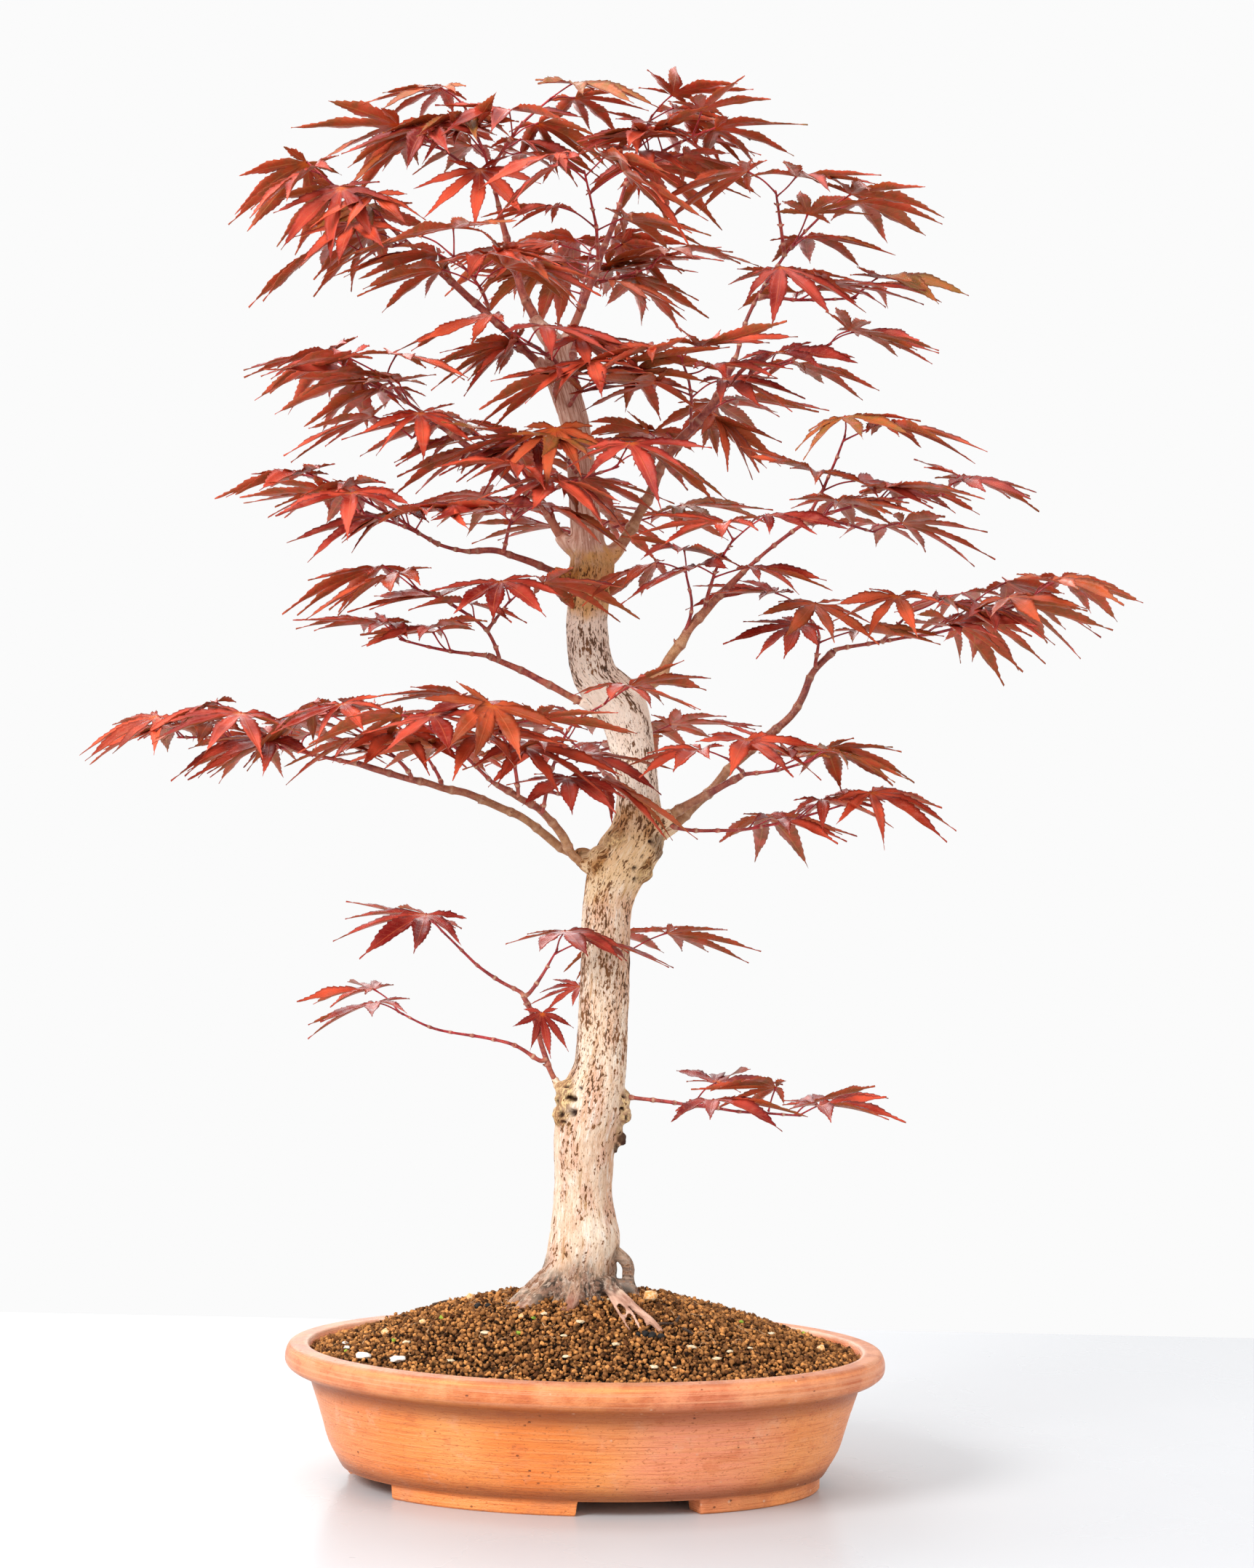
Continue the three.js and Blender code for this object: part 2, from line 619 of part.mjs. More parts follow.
keep("pot", makePot(), "clay");
for (const [side, word] of [[-1, "left"], [1, "right"]]) {
  keep("drain_screen_" + word, makeScreen(side), "screen");
  keep("screen_clip_" + word, makeClip(side), "wire");
}
keep("trunk", makeTrunk(), "trunkBark");
keep("soil", makeSoil(), "soil");

let woodRoom = makeTrunk(GAP);
for (const [name, shape] of Object.entries(LIMBS)) {
  keep("limb_" + name, mainBody(stem(shape, WOOD_SIDES).subtract(woodRoom)), "limbBark");
  woodRoom = woodRoom.add(stem(shape, WOOD_SIDES, GAP));
}

// All the twigs come first, so that each leaf can be turned or raised until it is clear of everything.
const sprays = Object.entries(SPRAYS).map(([name, twigs]) => {
  const stems = twigs.map(({ route }) => stem({ route, from: TWIG.from, to: TWIG.to }, TWIG.sides));
  const wood = stems.reduce((all, one) => all.add(one));
  return { name: "spray_" + name, twigs, leaves: [], solid: mainBody(wood.subtract(woodRoom)) };
});
placed.push(...sprays);

let seed = 1;
for (const spray of sprays) {
  for (const shape of spray.twigs) {
    for (const leaf of leavesOn(shape, seed)) addLeaf(leaf, spray);
    seed += 17;
  }
  addPiece(spray.name, spray.solid, "redLeaf");
}

const box = new THREE.Box3().setFromObject(bonsai);
const middle = box.getCenter(new THREE.Vector3());
bonsai.position.set(-middle.x, -middle.y, -box.min.z);

export default bonsai;
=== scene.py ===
import math
import bmesh
import bpy
import numpy as np
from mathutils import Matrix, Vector, noise


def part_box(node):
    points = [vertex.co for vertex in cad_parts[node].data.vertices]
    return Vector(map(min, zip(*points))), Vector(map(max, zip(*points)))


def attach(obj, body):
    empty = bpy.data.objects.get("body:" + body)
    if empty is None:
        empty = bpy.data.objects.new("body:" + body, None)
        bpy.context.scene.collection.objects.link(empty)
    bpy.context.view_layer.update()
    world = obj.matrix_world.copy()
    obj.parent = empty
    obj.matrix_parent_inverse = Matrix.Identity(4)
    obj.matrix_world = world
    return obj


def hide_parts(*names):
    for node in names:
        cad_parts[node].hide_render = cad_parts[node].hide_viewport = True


# A bonsai maple in its clay pot. All the making is in millimetres from the pot's middle on the table,
# and toFrame turns that into the frame's metres.

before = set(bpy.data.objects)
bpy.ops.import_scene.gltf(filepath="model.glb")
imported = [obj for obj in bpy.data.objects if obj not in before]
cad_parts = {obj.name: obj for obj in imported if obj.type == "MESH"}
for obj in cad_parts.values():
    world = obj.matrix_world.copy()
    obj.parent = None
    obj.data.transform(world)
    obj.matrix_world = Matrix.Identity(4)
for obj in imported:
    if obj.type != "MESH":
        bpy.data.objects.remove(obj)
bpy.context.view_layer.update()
dice = np.random.default_rng(41)

potLow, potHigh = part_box("pot")
potMiddle = np.array([(potLow.x + potHigh.x) / 2, (potLow.y + potHigh.y) / 2, potLow.z])
potHalfLength = (potHigh.x - potLow.x) * 500
potHalfWidth = (potHigh.y - potLow.y) * 500


def toFrame(points):
    return np.asarray(points, float) / 1000 + potMiddle


def mix(a, b, share):
    return a + (b - a) * share


def unit(way):
    return way / np.linalg.norm(way)


def smoothStep(low, high, value):
    share = np.clip((value - low) / (high - low), 0, 1)
    return share * share * (3 - 2 * share)


def scatter(n):  # the same scatter between -1 and 1 that the model's leaves were laid out with
    wave = math.sin(n * 12.9898 + 4.137) * 43758.5453
    return 2 * (wave - math.floor(wave)) - 1


# Camera, light and table

cameraSetup = {
    "place": (17.85, -1800, 418),  # in front of the pot's middle
    "lens": 69.04,
    "roll": -1.184,
}


def placeCamera(setup):
    camera = bpy.data.objects.new("camera", bpy.data.cameras.new("camera"))
    camera.data.sensor_width = 36
    camera.data.lens = setup["lens"]
    camera.location = toFrame(setup["place"])
    camera.rotation_euler = (math.radians(90), math.radians(setup["roll"]), 0)
    bpy.context.scene.collection.objects.link(camera)
    bpy.context.scene.camera = camera


lamps = {  # place, what it points at, size in metres and power in watts
    "window": ((-1500, -1500, 1500), (0, 0, 350), 1.0, 50),
    "fillRight": ((1700, -1100, 900), (0, 0, 350), 1.8, 6),
    "overhead": ((-300, 100, 2300), (0, 0, 300), 1.6, 20),
    "fromBehind": ((-500, 1700, 1100), (0, 0, 450), 1.4, 12),
}


def hangLamps(setup):
    for name, (place, target, size, power) in setup.items():
        lamp = bpy.data.lights.new(name, "AREA")
        lamp.shape = "DISK"
        lamp.size = size
        lamp.energy = power
        holder = bpy.data.objects.new(name, lamp)
        holder.location = toFrame(place)
        towards = Vector(toFrame(target)) - holder.location
        holder.rotation_euler = towards.to_track_quat("-Z", "Y").to_euler()
        holder.visible_camera = False
        bpy.context.scene.collection.objects.link(holder)


def lightRoom(strength, colour):
    world = bpy.data.worlds.new("room")
    bpy.context.scene.world = world
    world.use_nodes = True
    background = world.node_tree.nodes["Background"]
    background.inputs["Color"].default_value = paint(colour)
    background.inputs["Strength"].default_value = strength


# Material making

def paint(code):
    def channel(two):
        value = int(two, 16) / 255
        return value / 12.92 if value <= 0.04045 else ((value + 0.055) / 1.055) ** 2.4
    return (channel(code[0:2]), channel(code[2:4]), channel(code[4:6]), 1)


def startMaterial(name, roughness=0.6, specular=0.4):
    made = bpy.data.materials.new(name)
    made.use_nodes = True
    shader = made.node_tree.nodes["Principled BSDF"]
    shader.inputs["Roughness"].default_value = roughness
    shader.inputs["Specular IOR Level"].default_value = specular
    return made, made.node_tree, shader


def feed(tree, socket, value):
    if isinstance(value, bpy.types.NodeSocket):
        tree.links.new(value, socket)
    else:
        socket.default_value = value


def placeOn(tree, stretch=(1, 1, 1), shift=(0, 0, 0), attribute=None):
    if attribute:
        source = tree.nodes.new("ShaderNodeAttribute")
        source.attribute_name = attribute
        start = source.outputs["Vector"]
    else:
        start = tree.nodes.new("ShaderNodeTexCoord").outputs["Object"]
    mapping = tree.nodes.new("ShaderNodeMapping")
    mapping.inputs["Scale"].default_value = stretch
    mapping.inputs["Location"].default_value = shift
    tree.links.new(start, mapping.inputs["Vector"])
    return mapping.outputs["Vector"]


def speckle(tree, place, scale, detail=3.0, rough=0.55, warp=0.0):
    made = tree.nodes.new("ShaderNodeTexNoise")
    made.inputs["Scale"].default_value = scale
    made.inputs["Detail"].default_value = detail
    made.inputs["Roughness"].default_value = rough
    made.inputs["Distortion"].default_value = warp
    tree.links.new(place, made.inputs["Vector"])
    return made.outputs["Fac"]


def cells(tree, place, scale):  # how far each place is from the middle of its cell
    made = tree.nodes.new("ShaderNodeTexVoronoi")
    made.inputs["Scale"].default_value = scale
    tree.links.new(place, made.inputs["Vector"])
    return made.outputs["Distance"]


def stretchRange(tree, value, low, high, toLow=0.0, toHigh=1.0):
    made = tree.nodes.new("ShaderNodeMapRange")
    made.interpolation_type = "SMOOTHSTEP"
    made.inputs["From Min"].default_value = low
    made.inputs["From Max"].default_value = high
    made.inputs["To Min"].default_value = toLow
    made.inputs["To Max"].default_value = toHigh
    tree.links.new(value, made.inputs["Value"])
    return made.outputs["Result"]


def combine(tree, kind, a, b):
    made = tree.nodes.new("ShaderNodeMath")
    made.operation = kind
    feed(tree, made.inputs[0], a)
    feed(tree, made.inputs[1], b)
    return made.outputs[0]


def product(tree, a, b):
    return combine(tree, "MULTIPLY", a, b)


def total(tree, a, b):
    return combine(tree, "ADD", a, b)


def blendColours(tree, share, under, over):
    made = tree.nodes.new("ShaderNodeMix")
    made.data_type = "RGBA"
    feed(tree, made.inputs["Factor"], share)
    feed(tree, made.inputs[6], paint(under) if isinstance(under, str) else under)
    feed(tree, made.inputs[7], paint(over) if isinstance(over, str) else over)
    return made.outputs[2]


def twoTone(tree, share, low, high, under, over):
    return blendColours(tree, stretchRange(tree, share, low, high), under, over)


def wash(tree, colour, share, strength, over):  # a layer as strong as the share says
    return blendColours(tree, product(tree, share, strength), colour, over)


def coat(tree, colour, *layers):  # a layer: pattern, where it begins, where it is full, strength, colour
    for pattern, low, high, strength, over in layers:
        colour = blendColours(tree, stretchRange(tree, pattern, low, high, 0, strength), colour, over)
    return colour


def addFinish(tree, shader, colour, pattern, first, last):  # the colour, and how rough it is across the pattern
    feed(tree, shader.inputs["Base Color"], colour)
    feed(tree, shader.inputs["Roughness"], stretchRange(tree, pattern, 0.3, 0.7, first, last))


def readMarks(tree):
    source = tree.nodes.new("ShaderNodeAttribute")
    source.attribute_name = "marks"
    split = tree.nodes.new("ShaderNodeSeparateColor")
    tree.links.new(source.outputs["Color"], split.inputs["Color"])
    return split.outputs[0], split.outputs[1], split.outputs[2], source.outputs["Alpha"]


def placeParts(tree):  # across, back and up, in metres
    split = tree.nodes.new("ShaderNodeSeparateXYZ")
    tree.links.new(placeOn(tree), split.inputs["Vector"])
    return split.outputs


def raiseBump(tree, shader, height, distance, strength=1.0):
    made = tree.nodes.new("ShaderNodeBump")
    made.inputs["Strength"].default_value = strength
    made.inputs["Distance"].default_value = distance
    tree.links.new(height, made.inputs["Height"])
    tree.links.new(made.outputs["Normal"], shader.inputs["Normal"])


# Mesh making: a stock gathers the points, faces and marks of one piece

def newStock():
    return {"points": [], "faces": [], "marks": [], "count": 0}


def addShape(stock, points, faces, marks):
    points = np.asarray(points, float)
    marks = np.broadcast_to(np.asarray(marks, float), (len(points), 4))
    start = stock["count"]
    stock["points"].append(points)
    stock["marks"].append(marks)
    stock["faces"].extend([tuple(start + i for i in face) for face in faces])
    stock["count"] += len(points)


def writeMarks(mesh, values):
    marks = mesh.attributes.new("marks", "FLOAT_COLOR", "POINT")
    marks.data.foreach_set("color", values.astype(np.float32).ravel())


def shadeSmooth(mesh, smooth=True):
    mesh.polygons.foreach_set("use_smooth", np.full(len(mesh.polygons), smooth))
    mesh.update()


def makeMesh(name, stock):
    mesh = bpy.data.meshes.new(name)
    mesh.from_pydata(toFrame(np.concatenate(stock["points"])).tolist(), [], stock["faces"])
    writeMarks(mesh, np.concatenate(stock["marks"]))
    shadeSmooth(mesh)
    return mesh


def tidyMesh(mesh, distance):  # joins points that lie together and turns every face outwards
    work = bmesh.new()
    work.from_mesh(mesh)
    bmesh.ops.remove_doubles(work, verts=work.verts, dist=distance / 1000)
    bmesh.ops.dissolve_degenerate(work, edges=work.edges, dist=distance / 4000)
    bmesh.ops.recalc_face_normals(work, faces=work.faces)
    work.to_mesh(mesh)
    work.free()
    mesh.update()


def showPiece(name, mesh, material, nodes=()):
    piece = bpy.data.objects.new(name, mesh)
    bpy.context.scene.collection.objects.link(piece)
    mesh.materials.append(material)
    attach(piece, "root")
    if nodes:
        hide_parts(*nodes)
    return piece


def showStock(name, stock, material, nodes=(), weld=None):
    mesh = makeMesh(name, stock)
    if weld:
        tidyMesh(mesh, weld)
    return showPiece(name, mesh, material, nodes)


def smoothRoute(points, spanSteps=16):  # a curve through the points, as dense as wanted
    p = np.array(points, float)
    if len(p) == 2:
        return p[0] + (p[1] - p[0]) * np.linspace(0, 1, spanSteps + 1)[:, None]
    p = np.vstack([2 * p[0] - p[1], p, 2 * p[-1] - p[-2]])
    t = np.linspace(0, 1, spanSteps, endpoint=False)[:, None]
    made = []
    for a, b, c, d in zip(p, p[1:], p[2:], p[3:]):
        ab, bc, cd = (math.sqrt(np.linalg.norm(v)) for v in (b - a, c - b, d - c))
        leave = ((b - a) / ab - (c - a) / (ab + bc) + (c - b) / bc) * bc
        arrive = ((c - b) / bc - (d - b) / (bc + cd) + (d - c) / cd) * bc
        made.append(b + leave * t + (3 * (c - b) - 2 * leave - arrive) * t**2
                    + (2 * (b - c) + leave + arrive) * t**3)
    return np.vstack([*made, p[-2][None]])


def routeLength(route):
    return np.linalg.norm(np.diff(route, axis=0), axis=1).sum()


def alongRoute(route, shares):
    reach = np.concatenate([[0], np.cumsum(np.linalg.norm(np.diff(route, axis=0), axis=1))])
    wanted = np.asarray(shares) * reach[-1]
    return np.stack([np.interp(wanted, reach, route[:, axis]) for axis in range(3)], -1)


def addTube(stock, route, radii, sides, marks):
    steps = np.gradient(route, axis=0)
    steps /= np.linalg.norm(steps, axis=1)[:, None]
    side = np.cross(steps[0], (0.3, 0.2, 1) if abs(steps[0][2]) < 0.9 else (1, 0.2, 0))
    turn = np.linspace(0, 2 * math.pi, sides, endpoint=False)
    points = []
    for centre, step, radius in zip(route, steps, np.broadcast_to(radii, len(route))):
        side = unit(side - step * np.dot(side, step))
        across = np.cross(step, side)
        points.append(centre + radius * (np.cos(turn)[:, None] * side + np.sin(turn)[:, None] * across))
    points = np.vstack([*points, route[:1], route[-1:]])
    last = (len(route) - 1) * sides
    faces = []
    for row in range(0, last, sides):
        for i in range(sides):
            j = (i + 1) % sides
            faces.append((row + i, row + j, row + sides + j, row + sides + i))
    for i in range(sides):
        j = (i + 1) % sides
        faces.append((j, i, last + sides))
        faces.append((last + i, last + j, last + sides + 1))
    marks = np.asarray(marks, float)
    if marks.ndim == 2:
        marks = np.vstack([np.repeat(marks, sides, axis=0), marks[:1], marks[-1:]])
    addShape(stock, points, faces, marks)


# Camera, light and table, as set above

placeCamera(cameraSetup)
hangLamps(lamps)
lightRoom(1.0, "fbfbfb")
bpy.context.scene.view_settings.view_transform = "Standard"

table = {"left": -1500, "right": 1500, "front": -1500, "back": 523, "thick": 12}


def makeTable(sizes):
    material, tree, shader = startMaterial("paleTable", 0.3, 0.08)
    grain = speckle(tree, placeOn(tree), 6, 4)
    addFinish(tree, shader, blendColours(tree, grain, "c4c6c9", "cccdcf"), grain, 0.24, 0.34)
    stock = newStock()
    x0, x1, y0, y1 = sizes["left"], sizes["right"], sizes["front"], sizes["back"]
    for level in (-sizes["thick"], 0):
        addShape(stock, [(x0, y0, level), (x1, y0, level), (x1, y1, level), (x0, y1, level)], [], (0, 0, 0, 1))
    stock["faces"] = [(3, 2, 1, 0), (4, 5, 6, 7), (0, 1, 5, 4), (1, 2, 6, 5), (2, 3, 7, 6), (3, 0, 4, 7)]
    top = bpy.data.objects.new("table", makeMesh("table", stock))
    shadeSmooth(top.data, False)
    top.data.materials.append(material)
    bpy.context.scene.collection.objects.link(top)


makeTable(table)
print("camera, light and table are set")


# The pot

potShape = {
    "outside": ((38.3, 9), (36, 9), (31.5, 15.5), (26.2, 25), (20.5, 45), (15.4, 60.5), (13.6, 64), (4.5, 66.5),
                (0, 70.5), (0.2, 77), (2.6, 82), (13.3, 82)),  # inwards from the rim's edge, and height
    "inside": ((16, 76), (25.3, 50), (47.3, 19)),
    "rounding": (0.6, 1.5, 3, 6, 8, 4, 2.5, 2.5, 3, 3, 2.2, 1.6, 3, 6, 9),  # at each corner, in millimetres
    "footInset": 38.3,
    "footWidth": 14,
    "underside": 9,
    "gaps": ((284, 15), (197, 22), (104, 15), (17, 22)),  # middle and half angle, in degrees from +X
    "floor": (20, 19),  # how far from the middle it becomes flat, and its height
    "drain": (78, 11),  # how far from the middle, and the radius
    "columns": 420,
    "rowSpacing": 1.6,
    "footEdge": 1.2,  # the small rounding where a foot stands on the table
    "worn": 0.45,  # how far the wall's waves stay inside the model's wall
    "waves": (0.16, 0.55),  # the height of the throwing lines and of the slower swell
}
evenFrom = 118  # the radius below which the pot's ovals shrink evenly


def ovalPoint(radius, angle):  # lines below the rim run parallel to it, and shrink evenly near the middle
    difference = potHalfLength - potHalfWidth
    across = np.where(radius > evenFrom, radius - difference, radius * (evenFrom - difference) / evenFrom)
    return radius * np.cos(angle), across * np.sin(angle)


def roundCorners(corners, roundings, steps=5):
    made = [corners[0]]
    for before, corner, after, size in zip(corners, corners[1:], corners[2:], roundings):
        back, ahead = before - corner, after - corner
        size = min(size, 0.45 * np.linalg.norm(back), 0.45 * np.linalg.norm(ahead))
        start, end = corner + unit(back) * size, corner + unit(ahead) * size
        for t in np.linspace(0, 1, steps):
            made.append((1 - t) ** 2 * start + 2 * t * (1 - t) * corner + t * t * end)
    return np.array([*made, corners[-1]])


def densify(line, longest):
    made = [line[0]]
    for a, b in zip(line, line[1:]):
        count = max(1, math.ceil(np.linalg.norm(b - a) / longest))
        made.extend(a + (b - a) * (i + 1) / count for i in range(count))
    return np.array(made)


def clayMaterial():
    material, tree, shader = startMaterial("firedClay", 0.6, 0.35)
    place = placeOn(tree)
    x, y, z = placeParts(tree)
    broad = speckle(tree, place, 9, 3, 0.5)
    cloud = speckle(tree, placeOn(tree, shift=(3, 5, 1)), 22, 4, 0.6)
    lines = speckle(tree, placeOn(tree, (7, 7, 620)), 1, 5, 0.6)
    finer = speckle(tree, placeOn(tree, (40, 40, 1500)), 1, 3, 0.6)
    grit = speckle(tree, place, 1400, 3, 0.6)
    blotch = speckle(tree, placeOn(tree, shift=(2, 7, 4)), 52, 4, 0.65)
    pores = speckle(tree, placeOn(tree, (0.8, 0.8, 1.7), (5, 3, 8)), 520, 4, 0.62)
    stain = tree.nodes.new("ShaderNodeVectorMath")  # the pinker stain on the front
    stain.operation = "DISTANCE"
    tree.links.new(placeOn(tree, (1, 0.5, 0.9)), stain.inputs[0])
    stain.inputs[1].default_value = (0.062, -0.062, 0.036)
    stained = total(tree, stain.outputs["Value"], product(tree, cloud, 0.05))
    # painted shade: the right side of the pot turns browner and darker, away from the window light
    shadeRight = total(tree, x, product(tree, cloud, 0.06))
    # painted light: the left side of the pot turns paler, towards the window light
    lightLeft = combine(tree, "SUBTRACT", x, product(tree, cloud, 0.05))
    colour = coat(
        tree, twoTone(tree, broad, 0.35, 0.66, "f6883c", "ffa65e"),
        (cloud, 0.5, 0.74, 0.5, "f3a47a"),
        (stained, 0.085, 0.055, 0.7, "f7987a"),
        # painted shade on the pot's right side
        (shadeRight, 0.1, 0.2, 0.55, "d6794e"),
        # painted light on the pot's left side
        (lightLeft, -0.12, -0.2, 0.6, "eba07a"),
        (blotch, 0.45, 0.34, 0.45, "d8703a"),
        (blotch, 0.56, 0.7, 0.5, "f7b48f"),
        (lines, 0.42, 0.62, 0.35, "fbaa6c"),
        (pores, 0.42, 0.33, 0.6, "b0582a"),
        (finer, 0.5, 0.68, 0.55, "c2602c"),
    )
    # painted shade: a darker band on the wall under the rim's overhanging lip
    shadeUnderLip = product(tree, stretchRange(tree, z, 0.050, 0.062), stretchRange(tree, z, 0.071, 0.066))
    colour = wash(tree, colour, shadeUnderLip, 0.75, "9a4f28")
    # painted shade: a darker band on the downward-facing wall just above the feet
    shadeOverFoot = product(tree, stretchRange(tree, z, 0.008, 0.0105), stretchRange(tree, z, 0.021, 0.011))
    colour = wash(tree, colour, shadeOverFoot, 0.75, "7c3d20")
    inner, top, _, _ = readMarks(tree)
    rim = twoTone(tree, blotch, 0.38, 0.62, "b66a44", "d58e64")
    colour = wash(tree, colour, top, 0.85, rim)
    streaky = stretchRange(tree, cloud, 0.3, 0.55, 0.25, 0.8)
    colour = blendColours(tree, product(tree, inner, streaky), colour, "f1cdb4")
    lip = product(tree, stretchRange(tree, z, 0.067, 0.071), stretchRange(tree, z, 0.081, 0.077))
    colour = wash(tree, colour, lip, 0.65, twoTone(tree, blotch, 0.4, 0.6, "b95c36", "dd8a5e"))
    worn = product(tree, lip, stretchRange(tree, lines, 0.48, 0.62, 0, 0.5))
    colour = blendColours(tree, worn, colour, "eea57c")
    chips = product(tree, stretchRange(tree, z, 0.0095, 0.008), stretchRange(tree, cloud, 0.5, 0.62, 0, 0.35))
    colour = blendColours(tree, chips, colour, "b5693d")
    holes = cells(tree, placeOn(tree, (1, 1, 1.5)), 150)
    picked = stretchRange(tree, speckle(tree, placeOn(tree, shift=(1, 2, 3)), 60, 2), 0.55, 0.62)
    pits = product(tree, stretchRange(tree, holes, 0.16, 0.08), picked)
    colour = wash(tree, colour, pits, 0.75, "6a3820")
    pale = product(tree, stretchRange(tree, cells(tree, placeOn(tree, shift=(9, 4, 2)), 90), 0.1, 0.05),
                   stretchRange(tree, cloud, 0.5, 0.6))
    colour = wash(tree, colour, pale, 0.5, "ecc9ae")
    addFinish(tree, shader, colour, cloud, 0.28, 0.46)
    height = total(tree, product(tree, lines, 0.6), product(tree, finer, 0.4))
    height = total(tree, height, product(tree, grit, 0.2))
    height = total(tree, height, product(tree, pores, 0.7))
    height = combine(tree, "SUBTRACT", height, product(tree, pits, 0.9))
    raiseBump(tree, shader, height, 0.0011, 0.8)
    return material


def makePot(shape):
    foot, under = shape["footInset"], shape["underside"]
    middle = potHalfLength
    flatFrom, floor = shape["floor"]
    corners = np.array([(foot, 0), *shape["outside"], *shape["inside"], (middle - flatFrom, floor)], float)
    profile = densify(roundCorners(corners, shape["rounding"]), shape["rowSpacing"])[1:]
    heel, edge = foot + shape["footWidth"], shape["footEdge"]
    feet = np.array([(middle - 1, under), (middle - 60, under), (heel, under), (heel, under), (heel, 0.7),
                     (heel - 0.7, 0), (foot + edge, 0), (foot, edge)])
    line = np.vstack([feet, profile])
    angles = list(np.linspace(0, 360, shape["columns"], endpoint=False))
    for centre, half in shape["gaps"]:  # close columns where a foot ends, so that its end stands upright
        for edge in (centre - half, centre + half):
            angles = [a for a in angles if abs((a - edge + 180) % 360 - 180) > 0.5]
            angles.extend((edge + off) % 360 for off in (-0.35, -0.12, 0.12, 0.35))
    angles = np.radians(sorted(angles))
    inGap = np.zeros(len(angles))
    for centre, half in shape["gaps"]:
        off = np.abs((np.degrees(angles) - centre + 180) % 360 - 180)
        inGap = np.maximum(inGap, smoothStep(half + 0.3, half - 0.3, off))
    radius = middle - line[:, 0][None, :]
    height = np.maximum(line[:, 1][None, :], inGap[:, None] * under)
    height = np.where(line[:, 1][None, :] < under, height, line[:, 1][None, :])
    lineWave, slowWave = shape["waves"]
    throwing = np.array([[lineWave * noise.noise((math.cos(a) * 1.2, math.sin(a) * 1.2, z * 0.55))
                          + slowWave * noise.noise((math.cos(a) * 1.5 + 7, math.sin(a) * 1.5, z * 0.03))
                          for z in line[:, 1]] for a in angles])
    wall = smoothStep(10, 16, line[:, 1])
    radius = radius - (shape["worn"] + throwing) * wall[None, :]
    turn = angles[:, None] * np.ones_like(radius)
    x, y = ovalPoint(radius, turn)
    points = np.stack([x, y, height], -1).reshape(-1, 3)
    rows, columns = len(angles), len(line)
    faces = []
    for a in range(rows):
        b = (a + 1) % rows
        faces.extend((a * columns + i, b * columns + i, b * columns + i + 1, a * columns + i + 1)
                     for i in range(columns - 1))
    faces.append(tuple((rows - 1 - a) * columns for a in range(rows)))
    faces.append(tuple(a * columns + columns - 1 for a in range(rows)))
    inward, level = line.T
    innerEdge = np.exp(-((inward - 13.2) / 1.3) ** 2) * smoothStep(78, 80.5, level)
    flatTop = smoothStep(79.5, 81.6, level)
    marks = np.stack([innerEdge, flatTop, np.zeros(columns), np.ones(columns)], -1)
    stock = newStock()
    addShape(stock, points, faces, np.tile(marks, (rows, 1)))
    pot = showStock("clayPot", stock, clayMaterial(), ["pot"], weld=0.02)
    offset, size = shape["drain"]
    for side in (-1, 1):
        drill = newStock()
        route = np.array([(side * offset, 0, -8), (side * offset, 0, 30)], float)
        addTube(drill, route, size, 40, (0, 0, 0, 1))
        cutter = bpy.data.objects.new("drill", makeMesh("drill", drill))
        bpy.context.scene.collection.objects.link(cutter)
        cutAway(pot, cutter)
    return pot


def cutAway(piece, cutter):
    modifier = piece.modifiers.new("cut", "BOOLEAN")
    modifier.operation = "DIFFERENCE"
    modifier.solver = "EXACT"
    modifier.object = cutter
    applyModifiers(piece)
    bpy.data.objects.remove(cutter)


def applyModifiers(piece):
    bpy.context.view_layer.update()
    finished = bpy.data.meshes.new_from_object(piece.evaluated_get(bpy.context.evaluated_depsgraph_get()))
    old = piece.data
    piece.modifiers.clear()
    piece.data = finished
    finished.name = old.name
    bpy.data.meshes.remove(old)


makePot(potShape)
print("the pot is turned, with its feet and drain holes")


# The screens and wires in the drain holes keep the model's shape

def meshPlastic():
    material, tree, shader = startMaterial("meshPlastic", 0.5, 0.4)
    grain = speckle(tree, placeOn(tree), 500, 3)
    addFinish(tree, shader, blendColours(tree, grain, "1a1e17", "2e332a"), grain, 0.42, 0.62)
    raiseBump(tree, shader, grain, 0.0002, 0.4)
    return material


def bareWire():
    material, tree, shader = startMaterial("bareWire", 0.35, 0.5)
    shader.inputs["Metallic"].default_value = 1
    scratch = speckle(tree, placeOn(tree, (300, 300, 1500)), 1, 3)
    addFinish(tree, shader, blendColours(tree, scratch, "a8a49c", "c9c6bf"), scratch, 0.28, 0.46)
    raiseBump(tree, shader, scratch, 0.0001, 0.3)
    return material


plastic, wire = meshPlastic(), bareWire()
for side in ("left", "right"):
    for node, finish in (("drain_screen_" + side, plastic), ("screen_clip_" + side, wire)):
        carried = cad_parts[node]
        carried.data.materials.clear()
        carried.data.materials.append(finish)
print("the screens and wires have their finish")


# The soil: a dark bed painted as the shade between the grains, thousands of grains on it, and the bits that lie
# among them

soilShape = {
    "edge": 78,
    "rise": 38,
    "power": 1.3,
    "layers": ((2.75, 0, 1.45), (3.1, -1.8, 1.65), (5.6, 1.2, 1.35)),  # spacing, lift and radius of the grains
    "colours": ("50280f", "f0a65e"),
    "inset": 14.6,  # from the pot's widest oval
    "bedDrop": 1.6,  # how far the dark bed lies below the grains
    "trunkClear": 17,
    "rings": 60,
    "turns": 160,
    "skirt": ((25.5, 52), (47, 20.5)),  # in from the pot's widest oval, and height
}
soilHalfLength = potHalfLength - soilShape["inset"]
soilHalfWidth = potHalfWidth - soilShape["inset"]


def soilHeight(x, y):
    out = np.minimum((x / soilHalfLength) ** 2 + (y / soilHalfWidth) ** 2, 1)
    swell = 1.2 * np.sin(x * 0.045 + 1) * np.cos(y * 0.06) * (1 - out)
    return soilShape["edge"] + soilShape["rise"] * (1 - out) ** soilShape["power"] + swell - 1.2


